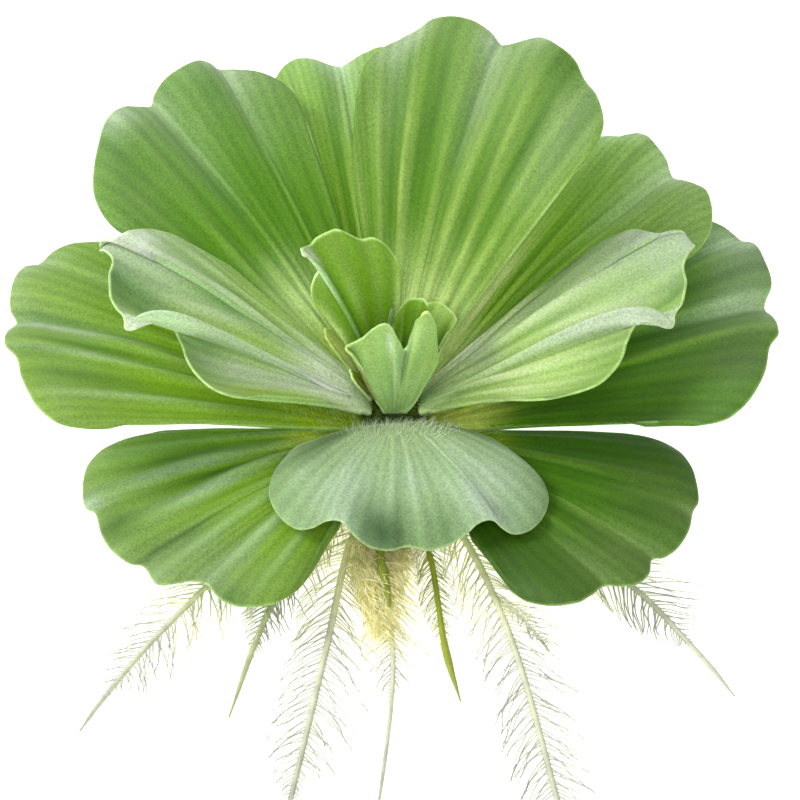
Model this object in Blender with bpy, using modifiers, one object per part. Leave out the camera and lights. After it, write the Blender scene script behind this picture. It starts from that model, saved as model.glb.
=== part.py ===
"""Water lettuce, picked and set down: ribbed leaves on a short crown, with the roots spread flat.

The origin is the middle of the crown's flat foot, +Z is up and -Y is the front. Table values are
millimetres and degrees. A leaf's place across is -1 at its left margin and 1 at its right one, as
seen from the crown's centre.
"""
from dataclasses import dataclass
from math import cos, pi, radians, sin

import bmesh
import bpy
import numpy as np

MM = 0.001

# Driving sizes of the plant, in millimetres
CROWN_TOP = 17.0            # height of the crown over its foot
CROWN_RADIUS = 7.6          # the crown's body, where the roots leave it

# Leaf blades
RIBS_FULL = 0.25            # share of the way to the margin where the ribs reach their full height
CUP_FULL = 0.5              # and where the blade's cup reaches its full turn
FLATTEST_CUP = 0.001        # least turn, in radians, so that a flat blade can be bent too
NOTCH_SHARPNESS = 1.3       # higher gives a notch a flatter floor
BELLY_SHARPNESS = 3         # higher keeps the outward bow nearer the edges

# Roots, which lie on the surface that the crown stands on
ROOT_RADIUS = 0.8           # the axis of a long root
ROOT_STATIONS = 11          # sections along a root
ROOT_TAPER = 0.5            # share of its length where it starts to thin
ROOT_TIP = 0.25             # radius at its tip, as a share of its full one
WING_THICKNESS = 0.5        # a root's fine side roots, as one thin wing
WING_SHOULDER = 0.75        # where the wing meets the axis, as a share of the axis's radius
WING_WIDENS = (0.1, 0.45)   # shares of the root's length between which the wing widens
WING_NARROWS = 0.37         # share of the length over which it narrows to nothing again
LOW_WING = 0.35             # height of the middle of a wing that lies on the surface
HIGH_WING = 1.2             # and of one that lies across its neighbour's

# The clump of short roots over the long ones, from the crown to its end: route, half widths and thickness
TUFT_FLOOR = 1.9
TUFT_ROUTE = ((0.0, -8.4), (-2.0, -18.0), (-3.2, -30.0), (-3.2, -42.0))
TUFT_HALVES = (3.0, 5.0, 6.0, 6.6, 6.6, 6.0, 4.6, 2.8, 0.9)
TUFT_THICK = (2.2, 2.2, 2.0, 1.9, 1.7, 1.5, 1.3, 1.0, 0.6)

# The short root that lies on the clump: route, its underside at the crown and at its tip, and its taper
SHORT_ROUTE = ((-1.6, -8.3), (-3.0, -22.0), (-0.8, -39.0))
SHORT_LOW = (4.5, 3.9)
SHORT_TAPER = 0.6
SHORT_TIP = 0.3

# Turned profile of the crown from its top to its foot: radius, height
CROWN_PROFILE = (
    (0.0, CROWN_TOP), (2.6, CROWN_TOP), (3.4, 16.5), (3.8, 15.2), (4.0, 13.0), (4.5, 11.4), (5.0, 9.8),
    (5.4, 8.4), (6.6, 7.0), (CROWN_RADIUS, 5.2), (CROWN_RADIUS, 1.4), (7.1, 0.4), (6.4, 0.0), (0.0, 0.0),
)
CROWN_STEPS = 20

# Finishes: base colour, roughness
LEAF_GREEN = ((0.16, 0.36, 0.05), 0.55)
GLAUCOUS_GREEN = ((0.36, 0.52, 0.26), 0.6)
YOUNG_GREEN = ((0.24, 0.46, 0.06), 0.5)
CROWN_GREEN = ((0.34, 0.38, 0.10), 0.7)
ROOT_CREAM = ((0.62, 0.62, 0.44), 0.6)
ROOT_GREEN = ((0.33, 0.38, 0.08), 0.6)


@dataclass(frozen=True)
class Growth:
    """How a leaf of one age is made."""

    ribs: int                       # raised ribs across it
    rows: int                       # rows of faces from its foot to its margin
    rib_height: float               # how far a rib stands off the blade's middle surface
    thickness: float


GROWN = Growth(ribs=8, rows=7, rib_height=0.35, thickness=1.1)
YOUNG = Growth(ribs=4, rows=5, rib_height=0.2, thickness=0.7)
BUD = Growth(ribs=2, rows=4, rib_height=0.0, thickness=0.7)


@dataclass(frozen=True)
class Leaf:
    """A leaf blade: a wedge that ends in a rounded margin."""

    name: str
    azimuth: float                  # the way it points, from +X towards +Y
    foot: tuple                     # radius and height of its foot on the crown
    length: float
    width: tuple                    # left and right half widths
    tilt: tuple                     # rise of the blade at its foot and at its tip
    widest: float = 0.7             # share of the length where it is widest
    foot_width: float = 5.5
    cup: tuple = (10.0, 10.0)       # turn of the left and right margins towards the upper face
    sweep: float = 0.0              # sideways bend, as a share of the length
    belly: tuple = (0.0, 0.0)       # outward bow of the left and right edges, as a share of the half width
    notches: tuple = ()             # place across, depth as a share of the length, half width
    waves: tuple = ()               # place across, height, half width
    off: float = 0.0                # foot moved sideways


@dataclass(frozen=True)
class Root:
    """A root that lies flat: its axis, and the plume of fine side roots as one flat body."""

    name: str
    route: tuple                    # points of its axis on the surface, chosen by hand
    plume: tuple                    # widest reach of its side roots, left and right as its tip is faced
    wing: float = LOW_WING          # height of the plume over the surface
    bare: float = 0.06              # share of the length at the tip that has no side roots


OLD_LEAVES = (
    Leaf("leaf_back", 57, (4.8, 15.8), 69, (25, 24), (66, 44), widest=0.74, foot_width=5,
         cup=(14, 14), off=-2.2, notches=((0.08, 0.03, 0.07), (0.45, 0.03, 0.06))),
    Leaf("leaf_back_left", 131, (5.0, 13.8), 77, (24, 23), (34, 24), widest=0.68,
         notches=((-0.08, 0.06, 0.05), (0.2, 0.03, 0.05))),
    Leaf("leaf_behind", 101, (5.2, 11.8), 75, (19, 19), (30, 20), widest=0.66, foot_width=5, cup=(8, 8),
         notches=((-0.05, 0.03, 0.06),)),
    Leaf("leaf_back_right", 33, (5.4, 12.8), 69, (20, 20), (32, 20), widest=0.66,
         notches=((0.0, 0.02, 0.06), (0.3, 0.04, 0.06))),
    Leaf("leaf_right", 9, (5.6, 11.0), 67, (28, 26), (26, 12), widest=0.72, cup=(8, 8),
         notches=((-0.35, 0.03, 0.06), (0.05, 0.04, 0.06))),
    Leaf("leaf_left", 171, (5.6, 11.0), 68, (26, 26), (24, 9), widest=0.74, cup=(8, 8),
         notches=((0.02, 0.04, 0.06), (0.42, 0.03, 0.06))),
    Leaf("leaf_front_left", 218, (5.6, 9.6), 55, (22, 23), (6, -2), widest=0.66, cup=(-6, -6),
         notches=((-0.1, 0.05, 0.06), (0.2, 0.05, 0.06))),
    Leaf("leaf_front_right", 324, (5.6, 9.6), 54, (21, 24), (6, -2), widest=0.66, cup=(-6, -6),
         notches=((-0.45, 0.03, 0.05), (-0.1, 0.05, 0.06), (0.25, 0.05, 0.06))),
)

INNER_LEAVES = (
    Leaf("leaf_inner_left", 177, (4.4, 15.8), 56, (21, 17), (37, 24), widest=0.76, cup=(14, 20),
         belly=(0.1, 0), notches=((-0.35, 0.12, 0.2),), waves=((-0.05, 3.5, 0.16), (-0.5, -3, 0.2))),
    Leaf("leaf_inner_right", 3, (4.4, 15.8), 57, (15.5, 25), (38, 24), widest=0.78, cup=(24, 14),
         belly=(0, 0.1), notches=((0.4, 0.12, 0.2),), waves=((0.05, 3.5, 0.16), (0.5, -3, 0.2))),
    Leaf("leaf_front", 276, (4.6, 14.8), 32, (24, 24), (24, -30), widest=0.66, foot_width=7,
         cup=(-14, -14), belly=(0.12, 0.12), notches=((-0.42, 0.10, 0.08), (0.42, 0.12, 0.08))),
)

YOUNG_LEAVES = (
    Leaf("young_left", 100, (3.2, 17.6), 34, (9, 9), (84, 80), foot_width=2.4, cup=(24, 30), off=-2.2,
         sweep=-0.2),
    Leaf("young_front", 270, (2.2, 17.5), 18, (8, 10), (80, 84), foot_width=5, cup=(30, 30),
         notches=((-0.3, 0.12, 0.2),)),
    Leaf("young_back", 75, (0.6, 17.6), 21, (3.6, 3.6), (86, 84), foot_width=2, cup=(30, 30), off=0.9),
    Leaf("young_right", 40, (3.2, 17.5), 20, (5, 4.5), (74, 56), foot_width=2, cup=(30, 30), off=1.0),
)

BUDS = (
    Leaf("young_bud", 182, (4.4, 17.6), 7.5, (2.0, 1.5), (62, 60), foot_width=1.2, cup=(20, 20)),
    Leaf("sheath", 160, (5.5, 18.2), 14, (1.6, 1.6), (58, 54), foot_width=1.2, cup=(24, 24)),
)

CREAM_ROOTS = (
    Root("root_left_long", ((-3.2, -8.0), (-8, -20), (-11.5, -44), (-15, -67), (-18, -86)), (9, 8.5),
         wing=HIGH_WING, bare=0.02),
    Root("root_right_long", ((4.4, -7.4), (13, -20.5), (20.5, -45.5), (26, -77), (28, -88)), (8.5, 9.5),
         wing=HIGH_WING, bare=0.02),
    Root("root_left_side", ((-7.2, -4.6), (-24, -19), (-40, -41), (-48, -55), (-52, -63)), (11, 7.5),
         wing=HIGH_WING, bare=0.18),
    Root("root_right_side", ((7.2, -4.6), (27, -17), (41.5, -30.5), (51, -45), (57, -55.5)), (9, 9.5), bare=0.2),
    Root("root_middle_long", ((-0.6, -8.6), (-0.9, -30), (-0.3, -48), (-0.9, -62), (-3.2, -84)), (6.5, 6.6),
         bare=0.28),
    Root("root_back_left", ((-5.6, 6.4), (-15, 19), (-28, 31)), (6, 6)),
    Root("root_back_right", ((5.6, 6.4), (17, 18), (25, 34)), (6, 6)),
)

GREEN_ROOTS = (
    Root("root_left_small", ((-5.4, -6.7), (-15, -21), (-22, -37), (-27.5, -60)), (4.5, 4.5), bare=0.26),
    Root("root_right_small", ((2.0, -8.4), (6.2, -23), (8.6, -45), (11, -56.5)), (2.9, 3.5), bare=0.25),
)


def smooth(x, start, end):
    """Rises from 0 at start to 1 at end with no corner."""
    share = np.clip((x - start) / (end - start), 0.0, 1.0)
    return share * share * (3.0 - 2.0 * share)


def margin(leaf, s):
    """Flat margin point of a leaf at place s: a wedge that touches an ellipse, less its notches."""
    low = leaf.length * leaf.widest
    rise = leaf.length - low
    half = leaf.width[0] if s < 0 else leaf.width[1]
    foot, slope = leaf.foot_width / 2 / half, low / rise
    reach = np.arctan2(slope, foot) + np.arcsin(1.0 / np.hypot(foot, slope))
    turn = s * reach
    cut = sum(depth * np.exp(-abs((s - place) / wide) ** NOTCH_SHARPNESS)
              for place, depth, wide in leaf.notches)
    return (half - cut * leaf.length) * np.sin(turn), low + (rise - cut * leaf.length) * np.cos(turn)


def rise_along(leaf, share):
    """Distance out, height and slope of the bent midrib at a share of the leaf's length."""
    start = radians(leaf.tilt[0])
    bend = radians(leaf.tilt[1]) - start
    slope = start + bend * share
    out = (sin(slope) - sin(start)) / bend
    up = (cos(start) - cos(slope)) / bend
    return out * leaf.length, up * leaf.length, slope


def blade_point(leaf, growth, s, t):
    """Point of a blade's middle surface at place s across and share t of the way to the margin."""
    tip_x, tip_y = margin(leaf, s)
    left = s < 0
    half = leaf.width[0] if left else leaf.width[1]
    belly = leaf.belly[0] if left else leaf.belly[1]
    x = s * leaf.foot_width / 2 * (1 - t) + tip_x * t
    x += np.sign(s) * belly * half * abs(s) ** BELLY_SHARPNESS * sin(pi * t)
    share = tip_y * t / leaf.length
    x += leaf.sweep * leaf.length * share * share
    cup = radians(leaf.cup[0] if left else leaf.cup[1]) * smooth(t, 0.0, CUP_FULL)
    cup = cup if abs(cup) > FLATTEST_CUP else FLATTEST_CUP
    turn = cup * x / half
    across = sin(turn) / cup * half
    lift = (1 - cos(turn)) / cup * half
    lift += sum(high * np.exp(-((s - place) / wide) ** 2) for place, high, wide in leaf.waves) * t ** 3
    lift += growth.rib_height * cos(pi * growth.ribs * (s + 1)) * smooth(t, 0.0, RIBS_FULL)
    out, up, slope = rise_along(leaf, share)
    radial = leaf.foot[0] + out - lift * sin(slope)
    height = leaf.foot[1] + up + lift * cos(slope)
    aim = radians(leaf.azimuth)
    across += leaf.off
    return (
        (radial * cos(aim) + across * sin(aim)) * MM,
        (radial * sin(aim) - across * cos(aim)) * MM,
        height * MM,
    )


def finish(name, colour, roughness):
    """A plain Principled material."""
    material = bpy.data.materials.new(name)
    material.use_nodes = True
    shader = material.node_tree.nodes["Principled BSDF"]
    shader.inputs["Base Color"].default_value = (*colour, 1.0)
    shader.inputs["Roughness"].default_value = roughness
    return material


def add_object(name, mesh, look, collection):
    """Links a mesh as one named piece of the plant, with a material of its own."""
    piece = bpy.data.objects.new(name, mesh)
    piece.data.materials.append(finish(f"{name}_finish", *look))
    collection.objects.link(piece)
    return piece


def add_leaf(leaf, growth, look, collection):
    """A grid bent to the blade's shape, with Solidify for its thickness."""
    grid = bmesh.new()
    bmesh.ops.create_grid(grid, x_segments=2 * growth.ribs, y_segments=growth.rows, size=1.0)
    for vertex in grid.verts:
        vertex.co = blade_point(leaf, growth, vertex.co.x, (vertex.co.y + 1) / 2)
    mesh = bpy.data.meshes.new(leaf.name)
    grid.to_mesh(mesh)
    grid.free()
    mesh.shade_smooth()
    piece = add_object(leaf.name, mesh, look, collection)
    wall = piece.modifiers.new("thickness", "SOLIDIFY")
    wall.thickness = growth.thickness * MM
    wall.offset = 0.0
    return piece


def curve_through(points, count):
    """Evenly numbered points on a smooth curve through the given ones, with its directions."""
    knots = np.array(points, dtype=float)
    ends = np.vstack([2 * knots[0] - knots[1], knots, 2 * knots[-1] - knots[-2]])
    places, ways = [], []
    for u in np.linspace(0, len(knots) - 1, count):
        i = min(int(u), len(knots) - 2)
        f = u - i
        p0, p1, p2, p3 = ends[i:i + 4]
        a = 2 * p1
        b = p2 - p0
        c = 2 * p0 - 5 * p1 + 4 * p2 - p3
        d = 3 * p1 - p0 - 3 * p2 + p3
        places.append((a + b * f + c * f * f + d * f ** 3) / 2)
        way = b + 2 * c * f + 3 * d * f * f
        ways.append(way / np.linalg.norm(way))
    return np.array(places), np.array(ways)


def loft(name, rings, look, collection):
    """A closed body through rings of points that all have the same number of points."""
    body = bmesh.new()
    loops = [[body.verts.new(point) for point in ring] for ring in rings]
    count = len(loops[0])
    for low, high in zip(loops, loops[1:]):
        for k in range(count):
            n = (k + 1) % count
            body.faces.new((low[k], low[n], high[n], high[k]))
    body.faces.new(reversed(loops[0]))
    body.faces.new(loops[-1])
    bmesh.ops.recalc_face_normals(body, faces=body.faces)
    mesh = bpy.data.meshes.new(name)
    body.to_mesh(mesh)
    body.free()
    mesh.shade_smooth()
    return add_object(name, mesh, look, collection)


def across(centre, way, profile):
    """A section that stands across a root: its points are given as reach to the right and height."""
    side = np.array([-way[1], way[0]])
    ring = []
    for reach, height in profile:
        x, y = centre + side * reach
        ring.append((x * MM, y * MM, height * MM))
    return ring


def winged(left, right, radius, wing):
    """A root's round axis with a thin wing of side roots each way, at the height of the wing's middle."""
    shoulder = WING_SHOULDER * radius
    share = radius / ROOT_RADIUS
    top = (wing + WING_THICKNESS / 2) * share
    bottom = (wing - WING_THICKNESS / 2) * share
    return (
        (right, wing * share), (shoulder, top), (0.0, 2 * radius), (-shoulder, top),
        (-left, wing * share), (-shoulder, bottom), (0.0, 0.0), (shoulder, bottom),
    )


def lens(half, low, thick, sides=8):
    """A flat rounded section, from its underside up."""
    turns = [2 * pi * k / sides for k in range(sides)]
    return [(half * cos(turn), low + thick / 2 * (1 + sin(turn))) for turn in turns]


def add_root(root, look, collection):
    """A root as one tapered body that reaches the tips of its side roots."""
    places, ways = curve_through(root.route, ROOT_STATIONS)
    rings = []
    for k, (place, way) in enumerate(zip(places, ways)):
        u = k / (ROOT_STATIONS - 1)
        spread = smooth(u, *WING_WIDENS) * (1 - smooth(u, 1 - root.bare - WING_NARROWS, 1 - root.bare))
        radius = ROOT_RADIUS * (1 - (1 - ROOT_TIP) * smooth(u, ROOT_TAPER, 1.0))
        left, right = (radius + (plume - radius) * spread for plume in root.plume)
        rings.append(across(place, way, winged(left, right, radius, root.wing)))
    return loft(root.name, rings, look, collection)


def add_tuft(collection):
    """The clump of short young roots that lies over the long ones in front of the crown."""
    places, ways = curve_through(TUFT_ROUTE, len(TUFT_HALVES))
    rings = [across(place, way, lens(half, TUFT_FLOOR, thick))
             for place, way, half, thick in zip(places, ways, TUFT_HALVES, TUFT_THICK)]
    return loft("root_tuft", rings, ROOT_CREAM, collection)


def add_short_root(collection):
    """The one thick short root that lies on the tuft and points forward."""
    places, ways = curve_through(SHORT_ROUTE, ROOT_STATIONS)
    rings = []
    for k, (place, way) in enumerate(zip(places, ways)):
        u = k / (ROOT_STATIONS - 1)
        radius = ROOT_RADIUS * (1 - (1 - SHORT_TIP) * smooth(u, SHORT_TAPER, 1.0))
        low = np.interp(u, (0.0, 1.0), SHORT_LOW)
        rings.append(across(place, way, lens(radius, low, 2 * radius)))
    return loft("root_short", rings, ROOT_GREEN, collection)


def add_crown(collection):
    """The short stem, turned about its axis, with a blunt flat foot."""
    line = bmesh.new()
    points = [line.verts.new((radius * MM, 0.0, height * MM)) for radius, height in CROWN_PROFILE]
    for first, second in zip(points, points[1:]):
        line.edges.new((first, second))
    mesh = bpy.data.meshes.new("crown")
    line.to_mesh(mesh)
    line.free()
    crown = add_object("crown", mesh, CROWN_GREEN, collection)
    turn = crown.modifiers.new("turned", "SCREW")
    turn.steps = CROWN_STEPS
    turn.render_steps = CROWN_STEPS
    turn.use_merge_vertices = True
    turn.merge_threshold = 0.0001
    turn.use_smooth_shade = True
    return crown


def main():
    """Builds the plant, piece by piece."""
    for leftover in list(bpy.data.objects):
        bpy.data.objects.remove(leftover, do_unlink=True)
    plant = bpy.data.collections.new("water_lettuce")
    bpy.context.scene.collection.children.link(plant)
    add_crown(plant)
    for leaf in OLD_LEAVES:
        add_leaf(leaf, GROWN, LEAF_GREEN, plant)
    for leaf in INNER_LEAVES:
        add_leaf(leaf, GROWN, GLAUCOUS_GREEN, plant)
    for leaf in YOUNG_LEAVES:
        add_leaf(leaf, YOUNG, YOUNG_GREEN, plant)
    for leaf in BUDS:
        add_leaf(leaf, BUD, YOUNG_GREEN, plant)
    for root in CREAM_ROOTS:
        add_root(root, ROOT_CREAM, plant)
    for root in GREEN_ROOTS:
        add_root(root, ROOT_GREEN, plant)
    add_tuft(plant)
    add_short_root(plant)


main()
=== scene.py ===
"""Water lettuce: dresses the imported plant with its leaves, crown, roots, hairs, floor and light."""

import logging
from dataclasses import dataclass
from enum import Enum
from math import cos, pi, radians, sin
from typing import Any, Sequence

import bmesh
import bpy
import numpy as np
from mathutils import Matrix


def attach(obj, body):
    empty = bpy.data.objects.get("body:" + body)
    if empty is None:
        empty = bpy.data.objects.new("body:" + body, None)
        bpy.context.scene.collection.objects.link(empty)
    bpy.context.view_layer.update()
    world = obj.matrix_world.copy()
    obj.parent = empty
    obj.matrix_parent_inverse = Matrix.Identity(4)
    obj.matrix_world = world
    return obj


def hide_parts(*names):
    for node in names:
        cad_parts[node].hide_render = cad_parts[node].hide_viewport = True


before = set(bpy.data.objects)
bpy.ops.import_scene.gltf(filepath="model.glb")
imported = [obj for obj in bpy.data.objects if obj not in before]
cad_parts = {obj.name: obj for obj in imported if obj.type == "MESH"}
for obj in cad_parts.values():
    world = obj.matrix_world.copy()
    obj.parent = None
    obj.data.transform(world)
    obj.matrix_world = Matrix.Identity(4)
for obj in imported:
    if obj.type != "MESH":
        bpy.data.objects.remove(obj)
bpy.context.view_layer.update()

MM = 0.001
METRE = 1000.0                      # in millimetres
PER_SQUARE_METRE = 1e6              # square millimetres in a square metre
TINY = 1e-12                        # far smaller than any length here, and keeps a division by 0 away
FLOOR_GAP = 0.3                     # least height of a hair's middle line above the floor, in millimetres
FLOOR_RADII = 1.2                   # the same for a side root, in its radii
SHORTEST_SIDE = 0.4                 # a shorter side root doesn't grow, in millimetres
BENDS = 260.0                       # bends in a metre of side root

# Short names for Blender's types
Material = bpy.types.Material
Mesh = bpy.types.Mesh
Node = bpy.types.Node
Socket = bpy.types.NodeSocket
Tree = bpy.types.NodeTree

BODY = "root"
log = logging.getLogger("water_lettuce")


# Helpers

def linear(code: str) -> tuple[float, float, float, float]:
    """Turns an sRGB hex colour into the linear one that a shader takes.

    Args:
        code: six hex digits after a hash sign.

    Returns:
        Linear red, green, blue and an alpha of 1.
    """
    parts = [int(code[k:k + 2], 16) / 255 for k in (1, 3, 5)]
    red, green, blue = (p / 12.92 if p <= 0.04045 else ((p + 0.055) / 1.055) ** 2.4 for p in parts)
    return red, green, blue, 1.0


def smooth(x: Any, start: float, end: float) -> Any:
    """Rises from 0 at start to 1 at end with no corner."""
    share = np.clip((x - start) / (end - start), 0.0, 1.0)
    return share * share * (3.0 - 2.0 * share)


def bell(x: Any, centre: float, width: float) -> Any:
    """A bump of height 1 round its centre."""
    return np.exp(-((x - centre) / width) ** 2)


def set_inputs(tree: Tree, node: Node, inputs: dict[Any, Any]) -> None:
    """Sets or links a node's inputs.

    Args:
        tree: the tree that the node is in.
        node: the node.
        inputs: input's name or number to a value, or to the output that feeds it.
    """
    for key, value in inputs.items():
        if isinstance(value, Socket):
            tree.links.new(value, node.inputs[key])
        else:
            node.inputs[key].default_value = value


def add_node(tree: Tree, kind: str, inputs: dict[Any, Any] | None = None, **settings: Any) -> Node:
    """Adds a node with its settings, and sets or links its inputs.

    Args:
        tree: the shader or geometry tree.
        kind: the node's type.
        inputs: input's name or number to a value, or to the output that feeds it.
        settings: the node's own properties.

    Returns:
        The new node.
    """
    node = tree.nodes.new(kind)
    for key, value in settings.items():
        setattr(node, key, value)
    set_inputs(tree, node, inputs or {})
    return node


def calculate(tree: Tree, operation: str, *values: Any, clamp: bool = False) -> Socket:
    """Adds a node that calculates with numbers.

    Args:
        tree: the tree.
        operation: what is done with the numbers.
        values: numbers, or the outputs that feed them.
        clamp: whether the result is kept between 0 and 1.

    Returns:
        The output with the result.
    """
    return add_node(tree, "ShaderNodeMath", dict(enumerate(values)), operation=operation,
                    use_clamp=clamp).outputs[0]


def calculate_vector(tree: Tree, operation: str, *values: Any) -> Socket:
    """Adds a node that calculates with vectors.

    Args:
        tree: the tree.
        operation: what is done with the vectors.
        values: vectors, or the outputs that feed them, and for a scaling the vector and its factor.

    Returns:
        The output with the result.
    """
    names = (0, "Scale") if operation == "SCALE" else (0, 1, 2)
    return add_node(tree, "ShaderNodeVectorMath", dict(zip(names, values)), operation=operation).outputs[0]


def map_range(tree: Tree, value: Socket, low: float, high: float,
              start: float = 0.0, end: float = 1.0) -> Socket:
    """Adds a node that turns the numbers from low to high into those from start to end.

    Args:
        tree: the tree.
        value: the output that feeds it.
        low: the number that gives start.
        high: the number that gives end.
        start: the result at and below low.
        end: the result at and above high.

    Returns:
        The output with the result.
    """
    return add_node(tree, "ShaderNodeMapRange", {0: value, 1: low, 2: high, 3: start, 4: end}).outputs[0]


def mix_colours(tree: Tree, amount: Socket, first: Any, second: Any) -> Socket:
    """Adds a mix of two colours.

    Args:
        tree: the material's tree.
        amount: the output with the second one's share.
        first: a colour, or the output that feeds it.
        second: a colour, or the output that feeds it.

    Returns:
        The output with the mixed colour.
    """
    return add_node(tree, "ShaderNodeMix", {0: amount, 6: first, 7: second}, data_type="RGBA").outputs[2]


def curve_through(points: Sequence[Sequence[float]], shares: np.ndarray) -> np.ndarray:
    """Points on a smooth curve through the given ones.

    Args:
        points: the points that the curve passes.
        shares: how far along the curve each wanted point is, from 0 to 1.

    Returns:
        An array with one row for each share.
    """
    knots = np.array(points, dtype=float)
    ends = np.vstack([2 * knots[0] - knots[1], knots, 2 * knots[-1] - knots[-2]])
    u = np.clip(shares, 0, 1) * (len(knots) - 1)
    i = np.minimum(u.astype(int), len(knots) - 2)
    f = (u - i)[:, None]
    p0, p1, p2, p3 = (ends[i + k] for k in range(4))
    return (2 * p1 + (p2 - p0) * f + (2 * p0 - 5 * p1 + 4 * p2 - p3) * f * f
            + (3 * p1 - p0 - 3 * p2 + p3) * f ** 3) / 2


def unit(vectors: np.ndarray) -> np.ndarray:
    """The same directions with a length of 1, or of 0 where there is none."""
    return vectors / (np.linalg.norm(vectors, axis=-1, keepdims=True) + TINY)


def make_mesh(name: str, points: np.ndarray, faces: Sequence[Sequence[int]],
              marks: dict[str, np.ndarray] | None = None) -> Mesh:
    """Makes a smooth closed mesh that faces outwards.

    Args:
        name: the mesh's name.
        points: one row of metres per vertex.
        faces: the vertices of each face.
        marks: numbers or vectors per vertex, kept as attributes.

    Returns:
        The mesh.
    """
    mesh = bpy.data.meshes.new(name)
    mesh.from_pydata([tuple(p) for p in points], [], [tuple(f) for f in faces])
    shape = bmesh.new()
    shape.from_mesh(mesh)
    bmesh.ops.recalc_face_normals(shape, faces=shape.faces)
    shape.to_mesh(mesh)
    shape.free()
    mesh.shade_smooth()
    add_marks(mesh, marks or {})
    return mesh


def add_marks(mesh: Mesh, marks: dict[str, np.ndarray]) -> None:
    """Keeps numbers or vectors per vertex as attributes.

    Args:
        mesh: the mesh that gets them.
        marks: attribute name to one number or one vector per vertex.
    """
    for key, values in marks.items():
        values = np.asarray(values, dtype=np.float32)
        vector = values.ndim == 2
        kept = mesh.attributes.new(key, "FLOAT_VECTOR" if vector else "FLOAT", "POINT")
        kept.data.foreach_set("vector" if vector else "value", values.ravel())


def add_piece(name: str, mesh: Mesh, material: Material,
              nodes: Sequence[str] = ()) -> bpy.types.Object:
    """Links a finished mesh as a piece that rides on the plant.

    Args:
        name: the piece's name.
        mesh: its mesh, in place.
        material: its finish.
        nodes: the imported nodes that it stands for.

    Returns:
        The piece.
    """
    mesh.materials.clear()
    mesh.materials.append(material)
    piece = bpy.data.objects.new(name, mesh)
    bpy.context.scene.collection.objects.link(piece)
    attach(piece, BODY)
    if nodes:
        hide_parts(*nodes)
    log.info("%s: %d faces", name, len(mesh.polygons))
    return piece


def grow(name: str, source: Mesh, tree: Tree, values: dict[str, Any]) -> Mesh:
    """Runs a geometry tree on a mesh and returns what it makes as a plain mesh.

    Args:
        name: the new mesh's name.
        source: the mesh that the tree starts from.
        tree: the tree.
        values: the tree's input name to its value.

    Returns:
        The grown mesh.
    """
    holder = bpy.data.objects.new(name + "_source", source)
    bpy.context.scene.collection.objects.link(holder)
    modifier = holder.modifiers.new("growth", "NODES")
    modifier.node_group = tree
    for item in tree.interface.items_tree:
        if item.item_type == "SOCKET" and item.in_out == "INPUT" and item.name in values:
            modifier[item.identifier] = values[item.name]
    made = holder.evaluated_get(bpy.context.evaluated_depsgraph_get())
    mesh = bpy.data.meshes.new_from_object(made)
    holder.modifiers.remove(modifier)
    bpy.data.objects.remove(holder)
    mesh.name = name
    return mesh


# Finishes

def start_material(name: str) -> tuple[Material, Tree, Node]:
    """Starts a finish.

    Args:
        name: the material's name.

    Returns:
        The material, its tree and the shader in it.
    """
    material = bpy.data.materials.new(name)
    material.use_nodes = True
    return material, material.node_tree, material.node_tree.nodes["Principled BSDF"]


def clouds(tree: Tree, size: float, detail: float = 3.0) -> Socket:
    """Adds a cloudy pattern that stays in place on the plant.

    Args:
        tree: the material's tree.
        size: size of its patches in millimetres.
        detail: how many finer patterns are laid over it.

    Returns:
        The output with the pattern, mostly between 0.3 and 0.7.
    """
    place = add_node(tree, "ShaderNodeTexCoord").outputs["Object"]
    return add_node(tree, "ShaderNodeTexNoise",
                    {"Vector": place, "Scale": METRE / size, "Detail": detail}).outputs["Fac"]


def relief(tree: Tree, height: Socket, strength: float, depth: float) -> Socket:
    """Adds fine relief.

    Args:
        tree: the material's tree.
        height: the output with the relief's height.
        strength: how strongly it shows.
        depth: how high it is, in millimetres.

    Returns:
        The output with the surface's direction.
    """
    return add_node(tree, "ShaderNodeBump",
                    {"Strength": strength, "Distance": depth * MM, "Height": height}).outputs[0]


def tone(tree: Tree, colour: Socket, brightness: Socket) -> Socket:
    """Adds a node that makes a colour lighter or darker, and gives its output."""
    return add_node(tree, "ShaderNodeHueSaturation", {"Value": brightness, "Color": colour}).outputs[0]


def read_mark(tree: Tree, name: str) -> Socket:
    """Adds a node that reads a mark of the mesh, and gives its output."""
    return add_node(tree, "ShaderNodeAttribute", attribute_name=name).outputs["Fac"]


class Mark(Enum):
    """What is painted on a leaf, as a share of 0 to 1 at each vertex."""

    RIDGE = "ridge"
    OUTER = "outer"
    BASE = "base"
    # Pale bloom, together with painted highlight on raised crests and at notches, and painted light that
    # lifts shaded parts
    BLOOM_AND_HIGHLIGHT = "pale"
    # Painted shade: hollows, the feet and the side of each rib away from the light
    PAINTED_SHADE = "deep"
    OLIVE = "olive"
    RIM = "rim"
    UNDER = "under"


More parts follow.
